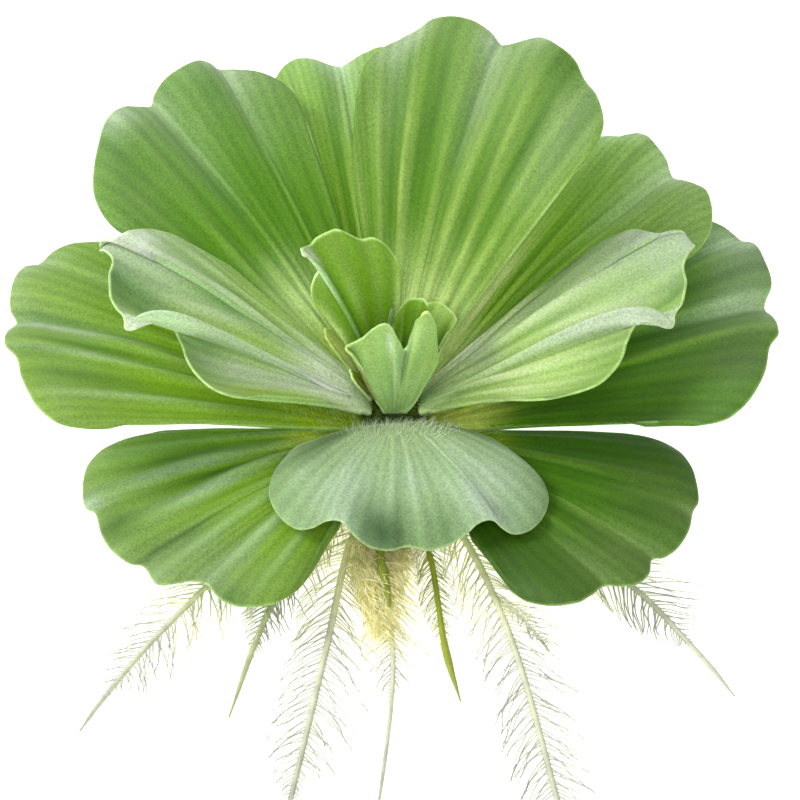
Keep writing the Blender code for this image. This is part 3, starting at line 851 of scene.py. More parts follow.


# Each outline runs from the left end of the margin to the right end, in millimetres to the right and out
# from the foot. It was fitted so that the leaf's edge lies on the photo's outline of it.

# In the patches, the deep paint is painted shade, and the pale paint is bloom with painted highlight and
# painted light that lifts shaded parts.
OLD_BLADES = (
    Blade("leaf_back", Look.BACK, azimuth=57, foot=(4.8, 15.8), length=69.5, width=(25, 24), tilt=(66, 44),
          foot_width=5, cup=(14, 14), off=-2.2, rib_width=0.055, base=(0.9, 0.5), seed=3,
          outline=((-20.7, 34.6), (-22.9, 42.4), (-24.5, 48.5), (-25.1, 53.7), (-23.5, 57.1), (-21.3, 59.6),
                   (-18.7, 62.4), (-16.7, 65.4), (-13.2, 67.0), (-9.1, 67.3), (-5.4, 66.4), (-3.1, 65.1),
                   (0.0, 66.4), (3.7, 68.5), (7.8, 68.1), (11.7, 66.7), (14.8, 64.0), (18.4, 61.9),
                   (22.0, 58.3), (23.0, 54.8), (22.3, 50.3)),
          notches=((-0.5, 0.5, 0.05), (0.1, 1.0, 0.05), (0.68, 0.6, 0.06)),
          ribs=((-0.87, -0.95, 0.4), (-0.62, -0.6, 0.7), (-0.33, -0.34, 1.0), (-0.02, -0.09, 0.6),
                (0.1, 0.07, 0.3), (0.24, 0.22, 0.8), (0.5, 0.34, 1.0), (0.7, 0.6, 0.9), (0.86, 0.76, 0.5)),
          patches=(
              *patches_of(Mark.RIDGE, (1.0, 0.6, 0.14, 0.6, 0.9), (-0.85, 0.75, 0.15, 0.3, 0.4),
                  (0.1, 0.25, 1.2, 0.14, 0.5)),
              *patches_of(Mark.BLOOM_AND_HIGHLIGHT, (-0.45, 1.0, 0.18, 0.06, 0.5), (0.02, 1.0, 0.09, 0.06, 0.5),
                  (0.3, 1.0, 0.09, 0.05, 0.4)),
              *patches_of(Mark.PAINTED_SHADE, (0.5, 0.97, 0.14, 0.07, 0.5), (0.72, 0.93, 0.05, 0.1, 0.4),
                  (-0.44, 0.65, 0.06, 0.25, 0.3), (-0.18, 0.75, 0.06, 0.2, 0.45),
                  (0.05, 0.72, 0.06, 0.22, 0.5), (0.4, 0.6, 0.05, 0.2, 0.4),
                  (0.55, 0.75, 0.05, 0.15, 0.35)))),
    Blade("leaf_back_left", Look.BACK_LEFT, azimuth=131, foot=(5.0, 13.8), length=78, width=(24, 23),
          tilt=(34, 24), base=(0.9, 0.45), seed=5,
          outline=((-22.0, 47.3), (-24.5, 50.9), (-25.3, 55.0), (-24.5, 58.9), (-21.4, 63.2), (-17.3, 67.5),
                   (-12.7, 71.6), (-8.2, 73.2), (-4.3, 72.7), (-1.1, 72.2), (0.8, 73.8), (3.9, 75.2),
                   (7.7, 75.5), (11.6, 75.3), (13.7, 74.0), (14.6, 72.3), (17.0, 70.3), (20.0, 67.9),
                   (22.4, 64.6), (23.5, 60.7), (22.3, 56.0)),
          notches=((-0.1, 1.0, 0.05), (0.5, 0.8, 0.05)),
          ribs=((-0.8, -0.8, 0.3), (-0.6, -0.6, 0.4), (-0.45, -0.35, 0.9), (-0.22, -0.27, 0.5),
                (-0.03, -0.08, 0.6), (0.1, 0.08, 0.4), (0.3, 0.33, 0.25), (0.48, 0.5, 0.4),
                (0.68, 0.72, 0.3), (0.86, 0.88, 0.25)),
          patches=(
              *patches_of(Mark.BLOOM_AND_HIGHLIGHT, (-0.35, 1.0, 0.1, 0.07, 0.6), (0.45, 1.0, 0.2, 0.07, 0.5)),
              *patches_of(Mark.PAINTED_SHADE, (-0.48, 0.95, 0.06, 0.1, 0.5), (0.26, 0.93, 0.07, 0.12, 0.5),
                  (0.05, 0.97, 0.06, 0.06, 0.4), (-0.15, 0.65, 0.08, 0.2, 0.45),
                  (0.3, 0.6, 0.3, 0.15, 0.25)),
              *patches_of(Mark.OLIVE, (-0.35, 0.15, 0.3, 0.08, 0.6)),
              *patches_of(Mark.BASE, (-0.2, 0.33, 0.35, 0.1, 0.6)),
              *patches_of(Mark.RIDGE, (0.9, 0.6, 0.12, 0.2, 0.6)))),
    Blade("leaf_behind", Look.BEHIND, azimuth=101, foot=(5.2, 11.8), length=77, width=(19, 19),
          tilt=(30, 20), foot_width=5, cup=(8, 8), seed=7,
          outline=((-14.8, 60.1), (-12.9, 67.4), (-10.4, 71.8), (-8.1, 74.9), (-5.6, 76.0), (-2.8, 75.8),
                   (0.1, 75.1), (3.2, 74.9), (5.4, 75.0), (8.2, 76.2), (11.0, 76.6), (13.8, 75.3),
                   (15.7, 72.5), (16.5, 68.6), (15.4, 62.0)),
          notches=((0.0, 0.8, 0.07),),
          ribs=((-0.8, -0.8, 0.4), (-0.55, -0.6, 0.6), (-0.35, -0.3, 0.6), (-0.12, -0.02, 0.8),
                (0.15, 0.25, 0.5), (0.45, 0.5, 0.5), (0.75, 0.78, 0.4)),
          patches=(
              *patches_of(Mark.BLOOM_AND_HIGHLIGHT, (-0.1, 0.99, 0.3, 0.06, 0.4)),
              *patches_of(Mark.RIDGE, (-0.45, 0.8, 0.08, 0.3, 0.6), (-0.12, 0.6, 0.04, 0.15, 0.7)),
              *patches_of(Mark.PAINTED_SHADE, (-0.2, 0.7, 0.08, 0.15, 0.5)))),
    Blade("leaf_back_right", Look.BACK_RIGHT, azimuth=33, foot=(5.4, 12.8), length=70, width=(20, 20),
          tilt=(32, 20), seed=9,
          outline=((-23.3, 53.5), (-21.9, 57.8), (-19.5, 61.2), (-17.0, 63.4), (-15.2, 65.9), (-13.0, 67.0),
                   (-11.2, 67.3), (-7.7, 66.6), (-4.4, 65.1), (-1.2, 65.3), (2.3, 66.0), (5.4, 66.1),
                   (9.0, 64.4), (11.1, 62.6), (13.9, 59.5), (15.3, 56.1), (15.2, 52.4)),
          notches=((0.0, 1.0, 0.06),),
          ribs=((-0.75, -0.8, 0.3), (-0.5, -0.6, 0.5), (-0.24, -0.36, 0.9), (-0.1, -0.02, 0.8),
                (0.1, 0.12, 0.5), (0.28, 0.32, 0.5), (0.5, 0.52, 0.4), (0.75, 0.78, 0.4)),
          patches=(
              *patches_of(Mark.BLOOM_AND_HIGHLIGHT, (-0.6, 1.0, 0.3, 0.05, 0.4), (0.03, 1.0, 0.15, 0.06, 0.4)),
              *patches_of(Mark.PAINTED_SHADE, (-0.1, 0.62, 0.06, 0.2, 0.7), (-0.38, 0.55, 0.1, 0.25, 0.6),
                  (-0.55, 0.85, 0.1, 0.12, 0.3)),
              *patches_of(Mark.BASE, (-0.65, 0.38, 0.12, 0.2, 0.6)),
              *patches_of(Mark.RIDGE, (0.25, 0.9, 0.3, 0.12, 0.5)))),
    Blade("leaf_right", Look.RIGHT, azimuth=9, foot=(5.6, 11.0), length=67, width=(28, 26), tilt=(26, 12),
          cup=(8, 8), seed=11,
          outline=((-24.2, 46.8), (-26.0, 51.4), (-26.6, 55.6), (-25.6, 59.6), (-23.4, 62.9), (-20.7, 65.1),
                   (-19.4, 66.5), (-17.2, 68.5), (-11.5, 68.8), (-5.3, 68.2), (-0.8, 65.4), (3.5, 66.0),
                   (8.8, 65.5), (11.8, 63.0), (17.2, 60.7), (21.8, 57.6), (24.9, 54.3), (27.5, 50.3),
                   (27.7, 46.5), (25.3, 42.5), (22.9, 37.6)),
          notches=((-0.4, 0.7, 0.05), (0.0, 1.0, 0.05)),
          ribs=((-0.85, -0.85, 0.5), (-0.6, -0.55, 0.6), (-0.3, -0.25, 0.6), (-0.08, -0.02, 0.9),
                (0.24, 0.16, 1.0), (0.42, 0.34, 0.25), (0.62, 0.52, 0.2), (0.82, 0.75, 0.15)),
          patches=(
              *patches_of(Mark.BLOOM_AND_HIGHLIGHT, (-0.35, 0.97, 0.2, 0.08, 0.7), (-0.03, 0.9, 0.05, 0.12, 0.4)),
              *patches_of(Mark.PAINTED_SHADE, (-0.2, 0.97, 0.08, 0.08, 0.5), (0.65, 0.6, 0.3, 0.5, 0.7),
                  (0.08, 0.75, 0.06, 0.15, 0.4)),
              *patches_of(Mark.OLIVE, (0.5, 0.15, 0.6, 0.1, 0.8)),
              *patches_of(Mark.OUTER, (0.35, 0.93, 0.12, 0.08, 0.4)))),
    Blade("leaf_left", Look.LEFT, azimuth=171, foot=(5.6, 11.0), length=68, width=(26, 26), tilt=(24, 9),
          cup=(8, 8), seed=13,
          outline=((-23.6, 43.1), (-25.6, 47.7), (-26.9, 51.7), (-25.2, 55.0), (-21.7, 57.9), (-17.1, 60.8),
                   (-12.0, 63.1), (-8.9, 66.1), (-4.6, 67.1), (-0.0, 66.5), (2.4, 68.4), (5.0, 69.2),
                   (9.1, 69.5), (13.2, 68.7), (15.2, 66.2), (18.1, 64.8), (20.7, 62.4), (22.2, 59.3),
                   (23.6, 56.0), (23.3, 52.4), (21.5, 48.5)),
          notches=((-0.1, 1.0, 0.05), (0.37, 0.7, 0.05)),
          ribs=((-0.82, -0.9, 0.3), (-0.62, -0.58, 0.8), (-0.42, -0.28, 1.0), (-0.24, -0.1, 1.0),
                (0.03, 0.12, 0.5), (0.25, 0.2, 0.5), (0.47, 0.4, 0.7), (0.7, 0.75, 0.5)),
          patches=(
              *patches_of(Mark.BLOOM_AND_HIGHLIGHT, (-0.13, 0.85, 0.035, 0.18, 0.8), (-0.33, 0.75, 0.03, 0.22, 0.8),
                  (-0.6, 0.7, 0.025, 0.25, 0.5), (0.3, 1.0, 0.25, 0.05, 0.5)),
              *patches_of(Mark.PAINTED_SHADE, (-0.25, 0.75, 0.05, 0.2, 0.6), (-0.06, 0.88, 0.05, 0.15, 0.6),
                  (-0.5, 0.85, 0.06, 0.15, 0.5), (-0.36, 0.95, 0.04, 0.08, 0.5)),
              *patches_of(Mark.RIDGE, (-0.85, 0.6, 0.2, 0.3, 0.5)),
              *patches_of(Mark.OLIVE, (-0.5, 0.12, 0.7, 0.12, 1.0)))),
    Blade("leaf_front_left", Look.FRONT_LEFT, azimuth=218, foot=(5.6, 9.6), length=55, width=(22, 23),
          tilt=(6, -2), cup=(-6, -6), seed=15,
          outline=((-14.0, 17.9), (-16.0, 22.1), (-18.8, 26.9), (-21.2, 32.1), (-21.7, 36.6), (-20.1, 40.1),
                   (-17.7, 42.6), (-14.6, 43.7), (-10.3, 43.3), (-8.1, 45.1), (-6.7, 48.1), (-4.5, 50.0),
                   (0.7, 48.9), (2.0, 51.2), (5.2, 52.3), (10.3, 51.4), (15.6, 49.3), (18.0, 49.9),
                   (22.2, 47.9), (26.9, 44.2), (29.8, 39.8), (30.0, 35.1), (28.0, 29.8)),
          notches=((-0.27, 1.0, 0.05), (0.09, 1.0, 0.05), (0.54, 0.6, 0.05)),
          ribs=((-0.75, -0.8, 0.3), (-0.5, -0.52, 0.6), (-0.26, -0.28, 1.0), (0.04, 0.0, 0.8),
                (0.22, 0.12, 0.3), (0.44, 0.24, 1.0), (0.66, 0.54, 1.0), (0.82, 0.74, 0.6),
                (0.95, 0.92, 0.3)),
          patches=(
              *patches_of(Mark.BLOOM_AND_HIGHLIGHT, (0.54, 1.0, 0.06, 0.08, 0.6), (0.6, 0.65, 0.025, 0.2, 0.7),
                  (0.36, 0.65, 0.025, 0.2, 0.6)),
              *patches_of(Mark.PAINTED_SHADE, (-0.4, 1.0, 0.13, 0.06, 0.6), (0.35, 0.95, 0.07, 0.08, 0.6),
                  (0.68, 0.6, 0.05, 0.2, 0.5), (0.47, 0.6, 0.05, 0.2, 0.5), (0.12, 0.85, 0.05, 0.15, 0.4),
                  (-0.8, 0.75, 0.2, 0.2, 0.4)),
              *patches_of(Mark.OUTER, (-0.1, 0.75, 0.1, 0.25, 0.5)),
              *patches_of(Mark.OLIVE, (0.85, 0.2, 0.3, 0.08, 0.9)))),
    Blade("leaf_front_right", Look.FRONT_RIGHT, azimuth=324, foot=(5.6, 9.6), length=54, width=(21, 24),
          tilt=(6, -2), cup=(-6, -6), seed=17,
          outline=((-25.7, 31.4), (-27.0, 35.3), (-26.3, 39.5), (-23.7, 43.4), (-20.3, 46.4), (-16.9, 48.8),
                   (-13.9, 49.4), (-9.2, 51.3), (-5.1, 51.7), (-2.2, 50.7), (-0.8, 49.0), (2.9, 50.7),
                   (6.5, 50.8), (8.7, 48.8), (10.0, 46.0), (13.4, 45.7), (17.1, 45.0), (19.6, 42.4),
                   (20.7, 38.7), (20.8, 35.2), (19.4, 31.4), (17.2, 26.8), (15.3, 22.3)),
          notches=((-0.45, 0.6, 0.05), (-0.09, 1.0, 0.05), (0.27, 0.8, 0.05)),
          ribs=((-0.8, -0.82, 0.3), (-0.56, -0.6, 0.7), (-0.33, -0.45, 0.4), (-0.12, -0.1, 0.6),
                (0.07, 0.07, 0.5), (0.25, 0.27, 0.25), (0.5, 0.5, 0.15), (0.75, 0.75, 0.15)),
          patches=(
              *patches_of(Mark.PAINTED_SHADE, (0.65, 0.7, 0.33, 0.5, 0.8), (-0.85, 0.7, 0.2, 0.4, 0.3),
                  (-0.35, 0.85, 0.08, 0.12, 0.4)),
              *patches_of(Mark.OUTER, (-0.6, 0.85, 0.06, 0.2, 0.6), (0.05, 0.9, 0.15, 0.14, 0.6)),
              *patches_of(Mark.RIDGE, (-0.15, 0.75, 0.08, 0.15, 0.5)),
              *patches_of(Mark.BLOOM_AND_HIGHLIGHT, (-0.45, 1.0, 0.04, 0.05, 0.6)),
              *patches_of(Mark.OLIVE, (-0.85, 0.25, 0.3, 0.08, 0.7)))),
)

INNER_BLADES = (
    Blade("leaf_inner_left", Look.INNER_LEFT, azimuth=177, foot=(4.4, 15.8), length=57, width=(18, 23),
          tilt=(37, 24), cup=(10, 10), belly=(-0.08, 0), droop=0, rib_width=0.035, rib_fade=0.7, rim=0.4,
          base=(0.5, 0.4), seed=19,
          outline=((-13.6, 22.3), (-17.5, 26.9), (-18.0, 30.7), (-15.9, 34.0), (-12.3, 36.4), (-7.7, 38.1),
                   (-6.0, 40.4), (-7.5, 44.3), (-9.7, 51.6), (-9.2, 49.1), (-7.7, 50.9), (-5.1, 53.1),
                   (-0.9, 53.9), (4.7, 53.5), (10.2, 57.6), (8.2, 54.4), (11.7, 51.8), (15.4, 47.8),
                   (16.7, 43.0), (16.0, 37.8), (15.7, 32.1)),
          waves=(Wave(-0.6, -2.0, 0.22, (0.2, 0.8)), Wave(-0.2, 4.5, 0.12, (0.1, 0.8)),
                 Wave(0.15, -2.0, 0.14, (0.4, 0.85)), Wave(0.45, 2.0, 0.2, (0.2, 0.9))),
          curls=(Curl(-0.6, 0.24, 25, 0.3), Curl(-0.2, 0.09, -120, 0.25), Curl(0.15, 0.13, 40, 0.3),
                 Curl(0.4, 0.05, -120, 0.14)),
          ribs=((-0.62, -0.7, 0.3), (-0.3, -0.4, 0.4), (-0.2, -0.2, 0.6), (0.05, 0.02, 0.4),
                (0.3, 0.24, 0.7), (0.43, 0.42, 0.9), (0.56, 0.6, 1.0), (0.7, 0.76, 0.8),
                (0.82, 0.88, 0.4)),
          patches=(
              *patches_of(Mark.BLOOM_AND_HIGHLIGHT, (-0.17, 0.72, 0.09, 0.35, 0.9), (0.55, 0.97, 0.15, 0.06, 0.8),
                  (0.1, 0.17, 0.75, 0.13, 0.9), (-0.56, 0.6, 0.1, 0.28, 0.8),
                  (-0.3, 0.36, 0.3, 0.15, 0.7)),
              *patches_of(Mark.PAINTED_SHADE, (-0.42, 0.86, 0.07, 0.13, 0.6), (-0.33, 0.56, 0.06, 0.15, 0.4),
                  (0.2, 0.93, 0.09, 0.14, 0.8), (0.33, 0.55, 0.05, 0.2, 0.6), (0.48, 0.6, 0.04, 0.18, 0.5),
                  (0.63, 0.65, 0.04, 0.18, 0.4), (-0.2, 0.0, 1.2, 0.06, 0.9)),
              *patches_of(Mark.OLIVE, (-0.88, 0.6, 0.16, 0.35, 1.0)))),
    Blade("leaf_inner_right", Look.INNER_RIGHT, azimuth=3, foot=(4.4, 15.8), length=57, width=(23, 18),
          tilt=(38, 24), cup=(10, 10), belly=(0, -0.08), droop=0, rib_width=0.035, rib_fade=0.7, rim=0.4,
          base=(0.35, 0.4), seed=21,
          outline=((-11.8, 27.7), (-14.1, 31.6), (-15.5, 36.3), (-15.6, 41.0), (-14.4, 47.1), (-9.6, 52.7),
                   (-10.6, 58.3), (-1.4, 54.9), (4.5, 55.1), (8.0, 52.9), (8.3, 50.8), (9.3, 53.5),
                   (9.3, 46.7), (8.9, 43.6), (12.0, 42.0), (15.1, 40.6), (17.9, 38.0), (19.7, 34.9),
                   (19.2, 31.3), (16.8, 26.8), (14.6, 22.5)),
          waves=(Wave(0.6, -2.0, 0.22, (0.2, 0.8)), Wave(0.1, 4.5, 0.12, (0.1, 0.8)),
                 Wave(-0.2, -2.0, 0.14, (0.4, 0.85)), Wave(-0.45, 2.0, 0.2, (0.2, 0.9))),
          curls=(Curl(0.6, 0.24, 20, 0.3), Curl(0.1, 0.09, -120, 0.25), Curl(-0.2, 0.13, 40, 0.3),
                 Curl(-0.4, 0.05, -120, 0.14)),
          ribs=((-0.88, -0.9, 0.3), (-0.68, -0.75, 0.7), (-0.55, -0.6, 0.6), (-0.4, -0.42, 0.8),
                (-0.27, -0.24, 0.6), (0.0, 0.0, 0.4), (0.12, 0.14, 0.4), (0.35, 0.4, 0.6), (0.55, 0.6, 0.3),
                (0.75, 0.8, 0.3)),
          patches=(
              *patches_of(Mark.BLOOM_AND_HIGHLIGHT, (0.1, 0.97, 0.14, 0.06, 0.8), (-0.5, 0.97, 0.16, 0.05, 0.6),
                  (-0.6, 0.25, 0.4, 0.09, 0.6)),
              *patches_of(Mark.PAINTED_SHADE, (0.1, 0.6, 0.07, 0.3, 0.2), (-0.5, 0.5, 0.12, 0.2, 0.4),
                  (-0.72, 0.8, 0.045, 0.2, 0.8), (0.1, 0.03, 0.9, 0.11, 0.8), (0.35, 0.2, 0.25, 0.07, 0.5),
                  (0.8, 0.9, 0.12, 0.12, 0.5), (-0.2, 0.95, 0.05, 0.1, 0.6)),
              *patches_of(Mark.RIDGE, (-0.88, 0.45, 0.14, 0.3, 0.9), (0.5, 0.6, 0.4, 0.3, 0.4)),
              *patches_of(Mark.BASE, (-0.92, 0.3, 0.25, 0.18, 0.9)))),
    Blade("leaf_front", Look.FRONT, azimuth=276, foot=(4.6, 14.8), length=32, width=(24, 24),
          tilt=(24, -30), foot_width=7, cup=(-14, -14), belly=(0.16, 0.16), droop=25, rib_height=0.25,
          rib_width=0.04, rib_fade=0.8, rim=0.4, base=(0.9, 0.6), seed=23,
          outline=((-18.4, 8.9), (-21.8, 12.1), (-24.1, 15.9), (-24.7, 20.7), (-23.2, 25.1), (-20.6, 28.1),
                   (-17.7, 29.1), (-15.5, 28.3), (-13.6, 26.9), (-11.1, 27.3), (-8.5, 29.1), (-5.5, 30.4),
                   (-2.0, 31.0), (1.1, 29.7), (4.3, 30.5), (7.7, 29.8), (10.3, 27.8), (12.4, 25.1),
                   (14.9, 24.3), (17.6, 25.0), (20.3, 24.4), (22.8, 20.9), (24.2, 15.3), (23.2, 8.9),
                   (19.9, 2.3)),
          waves=(Wave(-0.33, 1.6, 0.12, (0.4, 1.0)), Wave(0.42, 1.6, 0.12, (0.4, 1.0)),
                 Wave(0.083, -0.8, 0.05, (0.5, 1.0))),
          ribs=((-0.85, -0.85, 0.3), (-0.6, -0.62, 0.25), (-0.4, -0.38, 0.4), (-0.2, -0.18, 0.35),
                (0.0, 0.02, 0.5), (0.15, 0.18, 0.4), (0.35, 0.4, 0.4), (0.58, 0.6, 0.3), (0.8, 0.82, 0.4)),
          patches=(
              *patches_of(Mark.PAINTED_SHADE, (0.22, 0.92, 0.15, 0.17, 1.0), (-0.5, 0.02, 0.4, 0.07, 0.6),
                  (0.6, 0.02, 0.3, 0.07, 0.6), (-0.48, 0.88, 0.08, 0.1, 0.4),
                  (-0.08, 0.88, 0.12, 0.14, 0.4), (-0.95, 0.5, 0.1, 0.5, 0.6), (0.95, 0.5, 0.1, 0.5, 0.6)),
              *patches_of(Mark.BLOOM_AND_HIGHLIGHT, (-0.38, 0.85, 0.12, 0.15, 0.8), (-0.55, 0.6, 0.28, 0.33, 0.7),
                  (0.5, 0.6, 0.25, 0.33, 0.6), (0.0, 0.55, 0.2, 0.25, 0.3)),
              *patches_of(Mark.BASE, (0.0, 0.25, 0.8, 0.12, 0.5)))),
)

YOUNG_BLADES = (
    Blade("young_left", Look.YOUNG, azimuth=100, foot=(3.2, 17.6), length=34, width=(10, 8), tilt=(84, 80),
          foot_width=2.4, cup=(20, 24), sweep=-0.2, off=-2.2, droop=15, rib_height=0.2, rib_width=0.08,
          thickness=0.8, rim_thickness=0.5, ruffle=0.3, outer=0.3, rim=0.7, base=(0.2, 0.3), grid=(72, 48),
          seed=25,
          outline=((-7.5, 16.9), (-9.1, 21.0), (-9.0, 23.8), (-7.4, 26.2), (-5.5, 28.0), (-6.3, 29.9),
                   (-7.9, 36.5), (-6.0, 32.7), (-4.3, 33.1), (-1.9, 33.7), (0.4, 34.1), (1.8, 32.7),
                   (3.3, 31.2), (5.4, 31.1), (6.8, 29.6), (7.6, 27.5), (7.8, 25.1), (7.1, 22.1),
                   (5.3, 18.9), (3.8, 16.3), (2.8, 13.3)),
          waves=(Wave(-0.5, 1.5, 0.14, (0.2, 0.7)),),
          curls=(Curl(-0.4, 0.07, 130, 0.2),),
          ribs=((-0.8, -0.85, 0.4), (-0.12, -0.1, 0.3), (0.2, 0.25, 0.3), (0.5, 0.6, 0.4)),
          patches=(
              *patches_of(Mark.BLOOM_AND_HIGHLIGHT, (-0.5, 0.45, 0.2, 0.35, -0.9), (-0.4, 0.97, 0.07, 0.2, 1.0),
                  (0.82, 0.85, 0.1, 0.2, 0.6), (-0.44, 0.65, 0.035, 0.4, 1.0)),
              *patches_of(Mark.RIDGE, (0.62, 0.62, 0.13, 0.25, 1.0), (-0.9, 0.7, 0.1, 0.25, 1.0)),
              *patches_of(Mark.PAINTED_SHADE, (0.15, 0.85, 0.15, 0.15, 0.4), (0.0, 0.35, 0.5, 0.15, 0.6)))),
    Blade("young_front", Look.INMOST, azimuth=270, foot=(3.0, 16.8), length=22.7, width=(9, 10),
          tilt=(80, 84), foot_width=4.2, cup=(40, 40), droop=0, rib_height=0.2, rib_width=0.06,
          thickness=0.8, rim_thickness=0.5, ruffle=0.2, outer=0.3, rim=0.7, base=(0.5, 0.6), grid=(72, 48),
          seed=27,
          outline=((-8.1, 11.4), (-7.9, 14.7), (-7.6, 19.2), (-7.1, 25.3), (-5.8, 31.0), (-4.2, 26.8),
                   (-3.2, 20.5), (-1.8, 15.1), (-0.6, 19.3), (0.6, 23.1), (2.0, 23.7), (3.8, 21.7),
                   (5.5, 19.3), (7.5, 17.5), (9.3, 16.6), (8.1, 15.9), (6.4, 12.7)),
          waves=(Wave(-0.15, 2.0, 0.12, (0.3, 0.9)), Wave(-0.5, -1.5, 0.15, (0.3, 0.9))),
          curls=(Curl(0.85, 0.2, -60, 0.3), Curl(-0.5, 0.15, -50, 0.4)),
          ribs=((-0.75, -0.8, 0.4), (-0.3, -0.3, 0.5), (-0.05, -0.05, 0.6), (0.15, 0.15, 0.9),
                (0.45, 0.45, 0.4), (0.75, 0.8, 0.4)),
          patches=(
              *patches_of(Mark.BLOOM_AND_HIGHLIGHT, (0.15, 0.8, 0.07, 0.14, 1.0), (0.02, 0.4, 0.1, 0.3, 0.5)),
              *patches_of(Mark.RIDGE, (-0.45, 0.78, 0.14, 0.25, 0.9)),
              *patches_of(Mark.PAINTED_SHADE, (0.0, 0.0, 1.5, 0.2, 1.0), (-0.95, 0.3, 0.12, 0.5, 0.8),
                  (0.1, 0.35, 0.6, 0.25, 0.6), (-0.15, 0.8, 0.06, 0.2, 0.4)),
              *patches_of(Mark.OLIVE, (0.45, 0.9, 0.13, 0.16, 0.7)),
              *patches_of(Mark.BASE, (0.7, 0.5, 0.15, 0.25, 0.8)))),
    Blade("young_back", Look.YOUNG, azimuth=75, foot=(0.6, 17.6), length=21, width=(3.6, 3.6),
          tilt=(86, 84), foot_width=2, cup=(30, 30), off=0.9, droop=20, rib_height=0.15, rib_width=0.1,
          thickness=0.7, ruffle=0.2, outer=0.2, rim=0.7, base=(0.2, 0.3), grid=(48, 40), seed=29,
          outline=((-1.6, 15.3), (-1.3, 17.4), (-0.3, 19.7), (1.2, 21.2), (3.4, 22.4), (5.1, 22.3),
                   (5.1, 20.0), (4.4, 17.3), (3.5, 14.6)),
          ribs=((-0.5, -0.5, 0.5), (0.0, 0.0, 0.5), (0.5, 0.5, 0.5)),
          patches=patches_of(Mark.PAINTED_SHADE, (0.0, 0.6, 0.6, 0.3, 0.7))),
    Blade("young_right", Look.YOUNG, azimuth=40, foot=(3.2, 17.5), length=20, width=(5, 4.5), tilt=(74, 56),
          foot_width=2, cup=(30, 30), off=1.0, droop=40, rib_height=0.15, rib_width=0.1, thickness=0.7,
          ruffle=0.3, outer=0.3, rim=0.7, base=(0.3, 0.4), grid=(48, 40), seed=31,
          outline=((-4.5, 11.3), (-4.9, 13.6), (-4.5, 15.4), (-3.1, 17.2), (-1.8, 18.0), (0.7, 18.1),
                   (4.0, 18.1), (4.4, 16.5), (3.7, 14.3), (3.2, 12.0), (3.9, 10.4)),
          ribs=((-0.5, -0.5, 0.5), (0.0, 0.0, 0.5), (0.5, 0.5, 0.5)),
          patches=patches_of(Mark.RIDGE, (0.0, 0.95, 1.0, 0.15, 0.4))),
    Blade("young_bud", Look.INMOST, azimuth=182, foot=(4.4, 17.6), length=7.5, width=(2.0, 1.5),
          tilt=(62, 60), foot_width=1.2, cup=(20, 20), droop=0, rib_height=0.05, rib_width=0.2,
          thickness=0.7, ruffle=0.1, rim=0.7, grid=(24, 16), seed=33,
          ribs=((0.0, 0.0, 0.5),)),
    Blade("sheath", Look.INMOST, azimuth=160, foot=(5.5, 18.2), length=14, width=(1.6, 1.6), tilt=(58, 54),
          foot_width=1.2, cup=(24, 24), droop=0, rib_height=0.05, rib_width=0.2, thickness=0.7, ruffle=0.1,
          grid=(24, 20), seed=35,
          ribs=((0.0, 0.0, 0.5),),
          patches=patches_of(Mark.RIDGE, (0.0, 0.7, 1.5, 0.5, 0.9))),
)


# What both geometry trees share

def start_growth(name: str, numbers: Sequence[str]) -> tuple[Tree, Any]:
    """Starts a geometry tree that takes a mesh, some numbers, a seed and a material.

    Args:
        name: the tree's name.
        numbers: names of the numbers that it takes.

    Returns:
        The tree, and the outputs that give what it takes.
    """
    tree = bpy.data.node_groups.new(name, "GeometryNodeTree")
    taken = {"Geometry": "NodeSocketGeometry", **dict.fromkeys(numbers, "NodeSocketFloat"),
             "Seed": "NodeSocketInt", "Material": "NodeSocketMaterial"}
    for key, kind in taken.items():
        tree.interface.new_socket(key, in_out="INPUT", socket_type=kind)
    tree.interface.new_socket("Geometry", in_out="OUTPUT", socket_type="NodeSocketGeometry")
    return tree, add_node(tree, "NodeGroupInput").outputs


def end_growth(tree: Tree, grown: Socket, material: Socket) -> None:
    """Ends a geometry tree: what has grown is smooth, is real geometry and has its material.

    Args:
        tree: the tree.
        grown: the output with the mesh.
        material: the output with its finish.
    """
    soft = add_node(tree, "GeometryNodeSetShadeSmooth", {0: grown}).outputs[0]
    solid = add_node(tree, "GeometryNodeRealizeInstances", {0: soft}).outputs[0]
    dressed = add_node(tree, "GeometryNodeSetMaterial", {0: solid, "Material": material}).outputs[0]
    add_node(tree, "NodeGroupOutput", {0: dressed})


def read_stored(tree: Tree, name: str, kind: str = "FLOAT") -> Socket:
    """Adds a node that reads an attribute of the geometry, and gives its output."""
    return add_node(tree, "GeometryNodeInputNamedAttribute", {"Name": name}, data_type=kind).outputs[0]


def tube(tree: Tree, line: Socket, radius: Socket, sides: int) -> Socket:
    """Adds the nodes that give lines their thickness.

    Args:
        tree: the tree.
        line: the output with the lines.
        radius: the output with the radius at each point of them.
        sides: how many sides the tube has.

    Returns:
        The output with the tubes.
    """
    ring = add_node(tree, "GeometryNodeCurvePrimitiveCircle", {"Resolution": sides, "Radius": 1.0}).outputs[0]
    return add_node(tree, "GeometryNodeCurveToMesh",
                    {"Curve": line, "Profile Curve": ring, "Scale": radius, "Fill Caps": True}).outputs[0]


def draw_number(tree: Tree, low: float, high: float, seed: Socket) -> Socket:
    """Adds a node that draws a number between low and high for each point, and gives its output."""
    return add_node(tree, "FunctionNodeRandomValue", {2: low, 3: high, "Seed": seed}).outputs[1]


# Hairs and fibres

